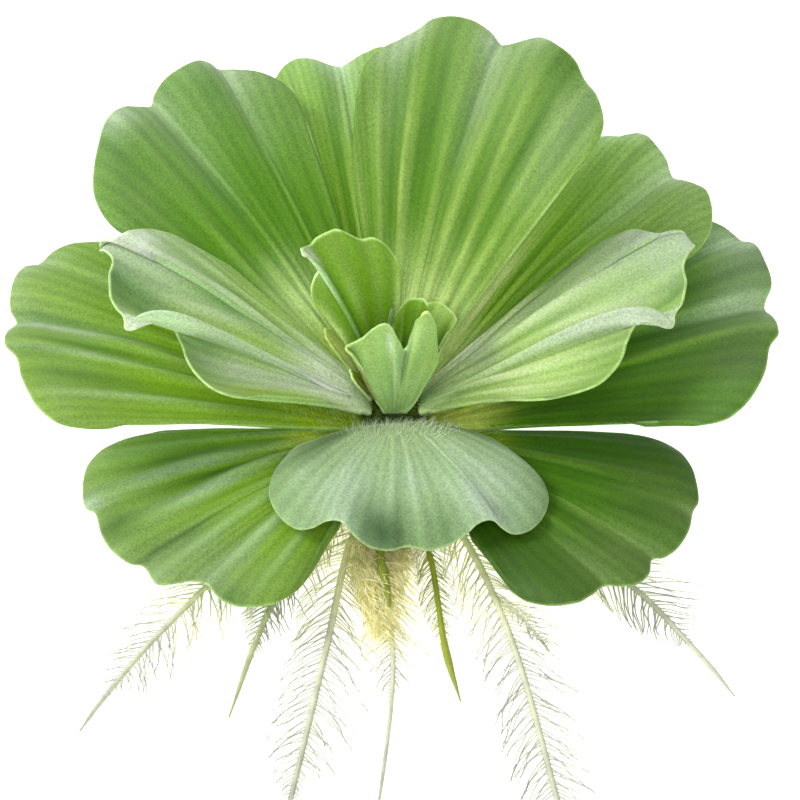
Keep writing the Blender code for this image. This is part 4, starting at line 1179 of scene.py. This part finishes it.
@dataclass(frozen=True)
class Coat:
    """How hairs grow on a surface. Sizes are millimetres."""

    density: float                  # hairs per square millimetre where the surface is most hairy
    length: float
    radius: float = 0.04            # at a hair's foot
    lean: float = 1.6               # how far a hair leans along the grain, where 1 is as far as it stands up
    spread: float = 0.5             # how unevenly the hairs lean


OLD_COAT = Coat(density=5.0, length=1.7)
INNER_COAT = Coat(density=3.0, length=0.9)
DROOPING_COAT = Coat(density=5.0, length=1.9, lean=0.4)
YOUNG_COAT = Coat(density=2.0, length=0.7)
TUFT_COAT = Coat(density=2.6, length=9.0, radius=0.13, lean=6.0, spread=3.0)
CROWN_COAT = Coat(density=9.0, length=2.4, radius=0.07, lean=0.3, spread=0.8)


class Bristles:
    """A geometry tree that grows fine hairs on a surface.

    They lean along its grain, and none goes below the floor.
    """

    def __init__(self) -> None:
        """Builds the tree once, for every piece that has hairs."""
        tree, given = start_growth("bristles", ("Density", "Length", "Radius", "Lean", "Spread"))
        density = calculate(tree, "MULTIPLY", read_stored(tree, "fuzz"), given["Density"])
        spots = add_node(tree, "GeometryNodeDistributePointsOnFaces",
                         {"Mesh": given["Geometry"], "Density": density, "Seed": given["Seed"]})
        leant = calculate_vector(tree, "SCALE", read_stored(tree, "grain", "FLOAT_VECTOR"), given["Lean"])
        stray = add_node(tree, "FunctionNodeRandomValue",
                         {0: (-1, -1, -1), 1: (1, 1, 1), "Seed": given["Seed"]},
                         data_type="FLOAT_VECTOR").outputs[0]
        strayed = calculate_vector(tree, "SCALE", stray, given["Spread"])
        upward = calculate_vector(tree, "ADD", spots.outputs["Normal"], leant)
        way = calculate_vector(tree, "ADD", upward, strayed)
        turned = add_node(tree, "FunctionNodeAlignRotationToVector", {"Vector": way}, axis="Z").outputs[0]
        long = calculate(tree, "MULTIPLY", draw_number(tree, 0.5, 1.1, given["Seed"]), given["Length"])
        hair = add_node(tree, "GeometryNodeCurveQuadraticBezier",
                        {"Resolution": 3, "Start": (0, 0, 0), "Middle": (0, 0, 0.5), "End": (0.25, 0, 0.95)})
        placed = add_node(tree, "GeometryNodeInstanceOnPoints",
                          {"Points": spots.outputs[0], "Instance": hair.outputs[0], "Rotation": turned,
                           "Scale": long})
        real = add_node(tree, "GeometryNodeRealizeInstances", {0: placed.outputs[0]}).outputs[0]
        position = add_node(tree, "GeometryNodeInputPosition").outputs[0]
        place = add_node(tree, "ShaderNodeSeparateXYZ", {0: position}).outputs
        lowest = calculate(tree, "MAXIMUM", place[2], FLOOR_GAP * MM)
        target = add_node(tree, "ShaderNodeCombineXYZ", {0: place[0], 1: place[1], 2: lowest}).outputs[0]
        laid = add_node(tree, "GeometryNodeSetPosition", {"Geometry": real, "Position": target}).outputs[0]
        along = add_node(tree, "GeometryNodeSplineParameter").outputs["Factor"]
        thick = calculate(tree, "MULTIPLY", map_range(tree, along, 0.0, 1.0, 1.0, 0.25), given["Radius"])
        end_growth(tree, tube(tree, laid, thick, sides=3), given["Material"])
        self.tree = tree

    def grow_on(self, name: str, source: Mesh, material: Material, coat: Coat, seed: int) -> Mesh:
        """Grows hairs on a mesh.

        Args:
            name: the hairs' name.
            source: the mesh that they stand on.
            material: their finish.
            coat: how they grow.
            seed: fixes which hairs grow.

        Returns:
            The hairs as a plain mesh.
        """
        return grow(name, source, self.tree, {
            "Density": coat.density * PER_SQUARE_METRE, "Length": coat.length * MM,
            "Radius": coat.radius * MM, "Lean": coat.lean, "Spread": coat.spread, "Seed": seed,
            "Material": material})


# Roots

class FeatheredRoot:
    """A geometry tree that grows a root along a line, with fine side roots on both sides."""

    def __init__(self) -> None:
        """Builds the tree once, for every root."""
        tree, given = start_growth("feathered_root",
                                   ("Spacing", "Side Radius", "Lean", "Jitter", "Wander", "Floor"))
        axis = add_node(tree, "GeometryNodeMeshToCurve", {0: given["Geometry"]}).outputs[0]
        stem = tube(tree, axis, read_stored(tree, "radius"), sides=10)
        laid, thick = self.side_lines(tree, given, axis)
        sides = tube(tree, laid, thick, sides=4)
        whole = add_node(tree, "GeometryNodeJoinGeometry", {0: stem})
        tree.links.new(sides, whole.inputs[0])
        end_growth(tree, whole.outputs[0], given["Material"])
        self.tree = tree

    def side_lines(self, tree: Tree, given: Any, axis: Socket) -> tuple[Socket, Socket]:
        """Adds the nodes that lay the side roots' lines down.

        Args:
            tree: the tree.
            given: the outputs that give what the tree takes.
            axis: the output with the root's line.

        Returns:
            The output with their lines, and the one with the radius along them.
        """
        real = self.side_curves(tree, given, axis)
        factor = add_node(tree, "GeometryNodeSplineParameter").outputs["Factor"]
        kept = add_node(tree, "GeometryNodeStoreNamedAttribute",
                        {"Geometry": real, "Name": "side_reach", "Value": factor}).outputs[0]
        marked = add_node(tree, "GeometryNodeStoreNamedAttribute",
                          {"Geometry": kept, "Name": "is_side", "Value": 1.0}).outputs[0]
        place = add_node(tree, "GeometryNodeInputPosition").outputs[0]
        noise = add_node(tree, "ShaderNodeTexNoise",
                         {"Vector": place, "Scale": BENDS, "Detail": 1.0}).outputs[1]
        centred = calculate_vector(tree, "SUBTRACT", noise, (0.5, 0.5, 0.5))
        shift = calculate_vector(tree, "SCALE", centred, calculate(tree, "MULTIPLY", factor, given["Wander"]))
        swayed = calculate_vector(tree, "ADD", place, shift)
        parts = add_node(tree, "ShaderNodeSeparateXYZ", {0: swayed}).outputs
        drop = calculate(tree, "POWER", factor, 0.6)
        high = add_node(tree, "ShaderNodeMix",
                        {0: drop, 2: parts[2], 3: read_stored(tree, "level")}).outputs[0]
        bumpy = add_node(tree, "ShaderNodeSeparateXYZ", {0: shift}).outputs[2]
        lowest = calculate(tree, "MAXIMUM", calculate(tree, "ADD", high, bumpy), given["Floor"])
        target = add_node(tree, "ShaderNodeCombineXYZ", {0: parts[0], 1: parts[1], 2: lowest}).outputs[0]
        laid = add_node(tree, "GeometryNodeSetPosition", {"Geometry": marked, "Position": target}).outputs[0]
        taper = map_range(tree, factor, 0.0, 1.0, 1.0, 0.45)
        return laid, calculate(tree, "MULTIPLY", taper, given["Side Radius"])

    @staticmethod
    def side_curves(tree: Tree, given: Any, axis: Socket) -> Socket:
        """Adds the nodes that set a bent line for each side root along the root, left and right in turn.

        Args:
            tree: the tree.
            given: the outputs that give what the tree takes.
            axis: the output with the root's line.

        Returns:
            The output with the bent lines.
        """
        seed = given["Seed"]
        spots = add_node(tree, "GeometryNodeCurveToPoints", {"Curve": axis, "Length": given["Spacing"]},
                         mode="LENGTH")
        index = add_node(tree, "GeometryNodeInputIndex").outputs[0]
        odd = calculate(tree, "MODULO", index, 2.0)
        full = add_node(tree, "ShaderNodeMix",
                        {0: odd, 2: read_stored(tree, "left"), 3: read_stored(tree, "right")}).outputs[0]
        long = calculate(tree, "MULTIPLY", full, draw_number(tree, 0.6, 1.08, seed))
        worth = calculate(tree, "GREATER_THAN", long, SHORTEST_SIDE * MM)
        hand = calculate(tree, "MULTIPLY_ADD", odd, -2.0, 1.0)
        wide = calculate(tree, "MULTIPLY", long, hand)
        scale = add_node(tree, "ShaderNodeCombineXYZ", {0: long, 1: wide, 2: long}).outputs[0]
        ahead = add_node(tree, "FunctionNodeAlignRotationToVector", {"Vector": spots.outputs["Tangent"]},
                         axis="X", pivot_axis="Z").outputs[0]
        yaw = calculate(tree, "MULTIPLY", draw_number(tree, -1.0, 1.0, seed), given["Jitter"])
        twist = add_node(tree, "ShaderNodeCombineXYZ", {2: yaw}).outputs[0]
        twisted = add_node(tree, "FunctionNodeEulerToRotation", {0: twist}).outputs[0]
        turned = add_node(tree, "FunctionNodeRotateRotation", {0: ahead, 1: twisted}, rotation_space="LOCAL")
        end_x = calculate(tree, "COSINE", given["Lean"])
        end_y = calculate(tree, "SINE", given["Lean"])
        end = add_node(tree, "ShaderNodeCombineXYZ", {0: end_x, 1: end_y}).outputs[0]
        middle = calculate_vector(tree, "MULTIPLY_ADD", end, (0.5, 0.5, 0.5), (-0.07, 0.08, 0.0))
        side = add_node(tree, "GeometryNodeCurveQuadraticBezier",
                        {"Resolution": 8, "Start": (0, 0, 0), "Middle": middle, "End": end}).outputs[0]
        placed = add_node(tree, "GeometryNodeInstanceOnPoints",
                          {"Points": spots.outputs[0], "Selection": worth, "Instance": side,
                           "Rotation": turned.outputs[0], "Scale": scale}).outputs[0]
        return add_node(tree, "GeometryNodeRealizeInstances", {0: placed}).outputs[0]


LOW = 0.35                          # height where side roots' tips lie on the surface, in millimetres
HIGH = 1.2                          # height where they lie on other roots


@dataclass(frozen=True)
class Root:
    """A root that lies flat, with its plume of side roots. Sizes are millimetres."""

    name: str
    route: tuple[tuple[float, float], ...]
    plume: tuple[float, float]      # reach of its side roots, left and right as its tip is faced
    level: float                    # height of the side roots' tips
    bare: float = 0.06              # share of the length at the tip without side roots
    radius: float = 0.8
    taper: float = 0.4              # share of its thickness that is gone by its tip
    swell: float = 0.0              # how much thicker it is just before its tip
    starts: float = 0.04            # share of the length where side roots start
    spacing: float = 0.42
    side_radius: float = 0.17
    lean: float = 38.0              # degrees between a side root and the root's own direction
    jitter: float = 14.0            # degrees by which that differs at most
    wander: float = 1.6             # how far a side root's tip strays
    branch: tuple[tuple[float, float], ...] = ()
    branch_plume: tuple[float, float] = (3.0, 3.0)
    branch_radius: float = 0.55     # as a share of the root's
    stations: int = 90
    branch_stations: int = 40
    seed: int = 1

    def line(self, route: Sequence[Sequence[float]], radius: float, plume: tuple[float, float],
             count: int) -> tuple[np.ndarray, dict[str, np.ndarray]]:
        """One axis as points with what the tree needs to know about them.

        Args:
            route: points that it passes.
            radius: its radius.
            plume: reach of its side roots.
            count: how many points it gets.

        Returns:
            The points, and radius, left, right, level and along at each.
        """
        u = np.linspace(0, 1, count)
        places = curve_through(route, u)
        pointed = 1 - 0.6 * smooth(u, 0.85, 1.0)
        thick = radius * (1 - self.taper * u + self.swell * bell(u, 0.72, 0.1)) * pointed
        thinning = 1 - smooth(u, 0.63 - self.bare, 1 - self.bare)
        grown = smooth(u, self.starts, 0.2) * (1 - 0.15 * u) * thinning
        reach = 1 / sin(radians(self.lean))
        points = np.column_stack([places, thick])
        marks = {"radius": thick * MM, "level": np.full(count, self.level * MM), "along": u,
                 "left": plume[0] * reach * grown * MM, "right": plume[1] * reach * grown * MM}
        return points * MM, marks

    def mesh(self, tree: Tree, material: Material) -> Mesh:
        """Grows the root.

        Args:
            tree: the tree that grows it.
            material: its finish.

        Returns:
            The root as a plain mesh.
        """
        points, marks = self.line(self.route, self.radius, self.plume, self.stations)
        edges = [(k, k + 1) for k in range(len(points) - 1)]
        if self.branch:
            more, extra = self.line(self.branch, self.radius * self.branch_radius, self.branch_plume,
                                    self.branch_stations)
            edges += [(len(points) + k, len(points) + k + 1) for k in range(len(more) - 1)]
            points = np.concatenate([points, more])
            marks = {key: np.concatenate([marks[key], extra[key]]) for key in marks}
        source = bpy.data.meshes.new(self.name + "_line")
        source.from_pydata([tuple(p) for p in points], edges, [])
        add_marks(source, marks)
        return grow(self.name, source, tree, {
            "Spacing": self.spacing * MM, "Side Radius": self.side_radius * MM, "Lean": radians(self.lean),
            "Jitter": radians(self.jitter), "Wander": self.wander * MM,
            "Floor": FLOOR_RADII * self.side_radius * MM, "Seed": self.seed, "Material": material})


CREAM_ROOTS = (
    Root("root_left_long", ((-3.2, -8.0), (-8, -20), (-11.5, -44), (-15, -67), (-18, -86)), (9, 8.5),
         level=HIGH, radius=0.75, bare=0.02, seed=1),
    Root("root_right_long", ((4.4, -7.4), (13, -20.5), (20.5, -45.5), (26, -77), (28, -88)), (8.5, 9.5),
         level=HIGH, radius=0.75, bare=0.02, branch=((16.5, -32.0), (22.0, -38.0), (27.0, -46.5)), seed=2),
    Root("root_left_side", ((-7.2, -4.6), (-24, -19), (-40, -41), (-48, -55), (-52, -63)), (11, 7.5),
         level=HIGH, radius=0.65, bare=0.18, seed=3),
    Root("root_right_side", ((7.2, -4.6), (27, -17), (41.5, -30.5), (51, -45), (57, -55.5)), (9, 9.5),
         level=LOW, radius=0.65, taper=0.35, bare=0.2, seed=4),
    Root("root_middle_long", ((-0.6, -8.6), (-0.9, -30), (-0.3, -48), (-0.9, -62), (-3.2, -84)), (6.5, 6.6),
         level=LOW, radius=0.55, bare=0.28, seed=5),
    Root("root_back_left", ((-5.6, 6.4), (-15, 19), (-28, 31)), (6, 6), level=LOW, radius=0.5, seed=6),
    Root("root_back_right", ((5.6, 6.4), (17, 18), (25, 34)), (6, 6), level=LOW, radius=0.5, seed=7),
)

SALLOW_ROOTS = (
    Root("root_left_small", ((-5.4, -6.7), (-15, -21), (-22, -37), (-27.5, -60)), (6, 6), level=LOW,
         radius=0.7, taper=0.3, bare=0.1, spacing=0.35, seed=8),
)

GREEN_ROOTS = (
    Root("root_right_small", ((2.0, -8.4), (6.2, -23), (8.6, -45), (11, -56.5)), (4.4, 4.6), level=LOW,
         bare=0.25, radius=0.6, swell=0.45, taper=0.35, spacing=0.22, side_radius=0.11, wander=0.7, seed=9),
)


@dataclass(frozen=True)
class ShortRoot:
    """The one thick short root that lies on the clump and points forward."""

    route: tuple[tuple[float, float, float], ...] = (
        (-1.6, -8.3, 5.3), (-3.0, -22.0, 5.0), (-0.8, -39.0, 4.4))
    radius: float = 0.8
    sides: int = 14
    stations: int = 60

    def mesh(self) -> Mesh:
        """The root as a tapered rod with a swollen end and a pointed tip.

        Returns:
            The mesh.
        """
        u = np.linspace(0, 1, self.stations)
        centres = curve_through(self.route, u)
        radius = self.radius * (0.8 + 0.2 * smooth(u, 0.5, 0.8)) * np.sqrt(1 - smooth(u, 0.82, 1.03))
        turns = np.linspace(0, 2 * pi, self.sides, endpoint=False)
        ahead = unit(np.gradient(centres, axis=0))
        side = unit(np.cross(ahead, (0.0, 0.0, 1.0)))
        up = np.cross(side, ahead)
        rings = [centres[k] + radius[k] * (np.cos(turns)[:, None] * side[k] + np.sin(turns)[:, None] * up[k])
                 for k in range(self.stations)]
        return lofted("root_short", np.array(rings) * MM, {"along": u})


def lofted(name: str, rings: np.ndarray, marks: dict[str, np.ndarray]) -> Mesh:
    """A closed body through rings of points.

    Args:
        name: the mesh's name.
        rings: stations by points by 3, in metres.
        marks: numbers per station.

    Returns:
        The mesh, with its flow along the stations as the attribute grain.
    """
    count, sides = rings.shape[:2]
    number = np.arange(count * sides).reshape(count, sides)
    ahead = np.roll(number, -1, axis=1)
    faces = np.stack([number[:-1], ahead[:-1], ahead[1:], number[1:]], -1).reshape(-1, 4).tolist()
    faces += [number[0][::-1].tolist(), number[-1].tolist()]
    flow = unit(np.gradient(rings, axis=0))
    spread = {key: np.repeat(values, sides) for key, values in marks.items()}
    spread["grain"] = flow.reshape(-1, 3)
    return make_mesh(name, rings.reshape(-1, 3), faces, spread)


@dataclass(frozen=True)
class Tuft:
    """The tan clump of short young roots in front of the crown: a matted body under loose fibres."""

    route: tuple[tuple[float, float], ...] = ((0.0, -8.4), (-2.0, -18.0), (-3.2, -30.0), (-3.2, -42.0))
    halves: tuple[float, ...] = (3.0, 5.0, 6.0, 6.6, 6.6, 6.0, 4.6, 2.8, 0.9)    # half widths along it
    thick: tuple[float, ...] = (2.2, 2.2, 2.0, 1.9, 1.7, 1.5, 1.3, 1.0, 0.6)
    floor: float = 1.9              # height of its underside, which lies on roots
    stations: int = 60
    sides: int = 48
    seed: int = 4

    def mesh(self) -> Mesh:
        """The matted body.

        Returns:
            The mesh.
        """
        u = np.linspace(0, 1, self.stations)
        centres = curve_through(self.route, u)
        known = np.linspace(0, 1, len(self.halves))
        halves, thick = np.interp(u, known, self.halves), np.interp(u, known, self.thick)
        ahead = unit(np.gradient(centres, axis=0))
        turns = np.linspace(0, 2 * pi, self.sides, endpoint=False)
        dice = np.random.default_rng(self.seed)
        coarse = 0.12 * np.sin(9 * turns + dice.uniform(0, 6))
        fine = 0.1 * np.sin(17 * turns + dice.uniform(0, 6))
        furrow = 1 + coarse + fine
        rings = []
        for k in range(self.stations):
            reach = 0.75 * halves[k] * np.cos(turns) * (1 + 0.05 * np.sin(6 * u[k] * pi + 3 * turns))
            high = self.floor + thick[k] / 2 + 0.3 * thick[k] * np.sin(turns) * furrow
            x = centres[k][0] - ahead[k][1] * reach
            y = centres[k][1] + ahead[k][0] * reach
            rings.append(np.column_stack([x, y, high]))
        return lofted("root_tuft", np.array(rings) * MM, {"along": u, "fuzz": np.full(self.stations, 1.0)})


# Crown

@dataclass(frozen=True)
class Crown:
    """The short stem: a blunt foot with ring scars under a narrower neck. Sizes are millimetres."""

    profile: tuple[tuple[float, float], ...] = (
        (1.0, 17.9), (2.2, 17.3), (3.3, 16.6), (4.1, 15.2), (4.5, 13.0), (4.9, 11.4), (5.2, 9.8), (5.5, 8.4),
        (6.6, 7.0), (7.6, 5.2), (7.6, 1.4), (7.1, 0.4), (6.4, 0.0))
    hairy: float = 17.0             # the height that hairs are counted by: they thicken up to half of it
    lump: float = 0.16              # size of its broad lumps
    scar: float = 0.22              # how far its ring scars stand out
    scar_pace: float = 5.5          # radians of them in a millimetre of height
    inset: float = 0.25             # how much thinner it is for these
    rows: int = 60
    sides: int = 72
    seed: int = 8

    def mesh(self) -> Mesh:
        """The stem, turned and roughened.

        Returns:
            The mesh.
        """
        line = curve_through(self.profile, np.linspace(0, 1, self.rows))
        turns = np.linspace(0, 2 * pi, self.sides, endpoint=False)
        dice = np.random.default_rng(self.seed)
        lumps = sum(self.lump / k * np.sin(k * 5 * turns + dice.uniform(0, 6)) for k in range(1, 5))
        rings = []
        for radius, height in line:
            grip = smooth(height, 0.0, 1.2)
            scars = self.scar * np.sin(height * self.scar_pace + 2 * lumps)
            rough = radius + grip * (lumps + scars - self.inset)
            level = np.full(self.sides, max(height, 0.0))
            rings.append(np.column_stack([rough * np.cos(turns), rough * np.sin(turns), level]))
        heights = line[:, 1] / self.hairy
        return lofted("crown", np.array(rings) * MM, {"along": heights, "fuzz": smooth(heights, 0.1, 0.5)})


# Studio

@dataclass(frozen=True)
class Lamp:
    """A round soft light that is turned to the plant. Sizes are metres."""

    name: str
    place: tuple[float, float, float]
    size: float
    watts: float

    def hang(self, target: tuple[float, float, float]) -> None:
        """Adds the light to the scene.

        Args:
            target: the point that it is turned to.
        """
        data = bpy.data.lights.new(self.name, "AREA")
        data.shape = "DISK"
        data.size = self.size
        data.energy = self.watts
        lamp = bpy.data.objects.new(self.name, data)
        lamp.location = self.place
        ahead = np.array(self.place) - np.array(target)
        flat = np.hypot(ahead[0], ahead[1])
        lamp.rotation_euler = (np.arctan2(flat, ahead[2]), 0.0, np.arctan2(ahead[0], -ahead[1]))
        bpy.context.scene.collection.objects.link(lamp)


@dataclass(frozen=True)
class Studio:
    """Plain pale floor, soft light and the photograph's view of the plant. Sizes are metres."""

    elevation: float = 42.0         # degrees above the horizon
    distance: float = 0.402
    target: tuple[float, float, float] = (0.0009, 0.0, 0.017)
    lens: float = 100.0             # millimetres, on a sensor of this width
    sensor: float = 36.0
    floor_half: float = 3.0
    floor_colour: str = "#FAFAF8"
    floor_glow: float = 0.65        # the floor's own light, as it is a light table
    sky: float = 0.5
    lamps: tuple[Lamp, ...] = (
        Lamp("key", (-0.6, 0.05, 0.55), size=0.35, watts=6.5),
        Lamp("back", (0.1, 0.7, 0.6), size=0.5, watts=2.5),
        Lamp("fill", (0.05, -0.55, 0.5), size=0.6, watts=4.2))

    def camera(self) -> None:
        """Places the camera in front of the plant, above it, and makes it the scene's."""
        data = bpy.data.cameras.new("camera")
        data.lens = self.lens
        data.sensor_width = self.sensor
        data.clip_start = 0.01
        camera = bpy.data.objects.new("camera", data)
        tilt = radians(self.elevation)
        x, y, z = self.target
        camera.location = (x, y - self.distance * cos(tilt), z + self.distance * sin(tilt))
        camera.rotation_euler = (pi / 2 - tilt, 0.0, 0.0)
        bpy.context.scene.collection.objects.link(camera)
        bpy.context.scene.camera = camera

    def floor(self) -> None:
        """Lays the floor."""
        shape = bmesh.new()
        bmesh.ops.create_grid(shape, x_segments=1, y_segments=1, size=self.floor_half)
        mesh = bpy.data.meshes.new("floor")
        shape.to_mesh(mesh)
        shape.free()
        floor = bpy.data.objects.new("floor", mesh)
        material, tree, shader = start_material("white_light_table")
        set_inputs(tree, shader, {
            "Base Color": linear(self.floor_colour), "Roughness": 0.9, "Specular IOR Level": 0.1,
            "Emission Color": linear("#FFFFFF"), "Emission Strength": self.floor_glow})
        mesh.materials.append(material)
        bpy.context.scene.collection.objects.link(floor)

    def light(self) -> None:
        """Hangs three soft lights and a pale sky."""
        for lamp in self.lamps:
            lamp.hang(self.target)
        world = bpy.data.worlds.new("soft_box")
        world.use_nodes = True
        set_inputs(world.node_tree, world.node_tree.nodes["Background"], {0: linear("#FFFFFF"), 1: self.sky})
        bpy.context.scene.world = world
        bpy.context.scene.view_settings.view_transform = "Standard"


# The plant

class Plant:
    """Builds every piece of the water lettuce."""

    def __init__(self) -> None:
        """Builds the finishes and the two growing trees."""
        self.bristles = Bristles()
        self.feather = FeatheredRoot()
        self.leaf = {look: look.value.build() for look in Look}
        # Long roots: cream at the crown, lightened there with painted light against the leaves' shadow, then
        # the greyish white of thin tissue soaked with water
        self.cream = RootTissue("milky_root", "#F6F2BC", "#B6BAA0", "#989C8C", "#ACAEA0", "#A0A298").build()
        # A young root: the same white with a green tinge
        self.sallow = RootTissue("sallow_root", "#E8E8B0", "#B0B68E", "#949C74", "#A8AC96", "#9A9E90").build()
        # Roots that light has turned olive green
        self.green = RootTissue("green_root", "#9CA438", "#86902C", "#788238", "#B0B47C", "#A0A484").build()
        # The clump: pale straw and tan strands, painted lighter than their own colour as painted light
        # against the shade of the leaves above
        self.tan = FibreTissue("matted_root_fibre", "#FCF8C4", "#E4DC84").build()
        # Hairs at the foot of old leaves: a soft light green edge where a leaf meets the crown
        self.hair = FibreTissue("leaf_hair", "#CAE08A", "#92B23A").build()
        # Longer hairs at the foot of the drooping leaf: pale grey-green fuzz
        self.down = FibreTissue("leaf_down", "#DDE8C8", "#B4CC94").build()
        # Short hairs on inner and young leaves: close to the leaf's own green, so they only soften it
        self.nap = FibreTissue("leaf_nap", "#A6BC74", "#5E7C2C").build()
        # The crown and its hairs: almost black green, painted shade for the dark middle of the plant under
        # the leaves
        self.bark = FibreTissue("crown_skin", "#2A3C04", "#101802").build()
        self.scale = FibreTissue("crown_hair", "#4A640C", "#1A2602").build()

    def build_leaves(self) -> None:
        """Builds the leaves with the hairs at their feet."""
        groups = ((OLD_BLADES, "leaf", self.hair, OLD_COAT),
                  (INNER_BLADES[:2], "pale_leaf", self.nap, INNER_COAT),
                  (INNER_BLADES[2:], "pale_leaf", self.down, DROOPING_COAT),
                  (YOUNG_BLADES, "young_leaf", self.nap, YOUNG_COAT))
        for blades, slot, finish, coat in groups:
            for blade in blades:
                mesh = blade.mesh()
                hairs = self.bristles.grow_on(blade.name + "_hairs", mesh, finish, coat, blade.seed)
                add_piece(blade.name + "_blade", mesh, self.leaf[blade.look], [blade.name])
                if len(hairs.polygons):
                    add_piece(blade.name + "_hairs", hairs, finish)

    def build_roots(self) -> None:
        """Builds the roots, the clump and the short root on it."""
        groups = ((CREAM_ROOTS, self.cream, "root"), (SALLOW_ROOTS, self.sallow, "green_root"),
                  (GREEN_ROOTS, self.green, "green_root"))
        for roots, material, slot in groups:
            for root in roots:
                mesh = root.mesh(self.feather.tree, material)
                add_piece(root.name + "_feathered", mesh, material, [root.name])
        mat = Tuft().mesh()
        fibres = self.bristles.grow_on("tuft_fibres", mat, self.tan, TUFT_COAT, seed=41)
        add_piece("tuft_mat", mat, self.tan, ["root_tuft"])
        add_piece("tuft_fibres", fibres, self.tan)
        add_piece("short_root", ShortRoot().mesh(), self.green, ["root_short"])

    def build_crown(self) -> None:
        """Builds the stem and the hairs on it."""
        mesh = Crown().mesh()
        hairs = self.bristles.grow_on("crown_hairs", mesh, self.scale, CROWN_COAT, seed=43)
        add_piece("crown_stem", mesh, self.bark, ["crown"])
        add_piece("crown_hairs", hairs, self.scale)


def main() -> None:
    """Builds the studio and the plant."""
    logging.basicConfig(level=logging.INFO, format="%(name)s %(message)s")
    studio = Studio()
    studio.camera()
    studio.floor()
    studio.light()
    plant = Plant()
    plant.build_crown()
    plant.build_leaves()
    plant.build_roots()


if __name__ == "__main__":
    main()
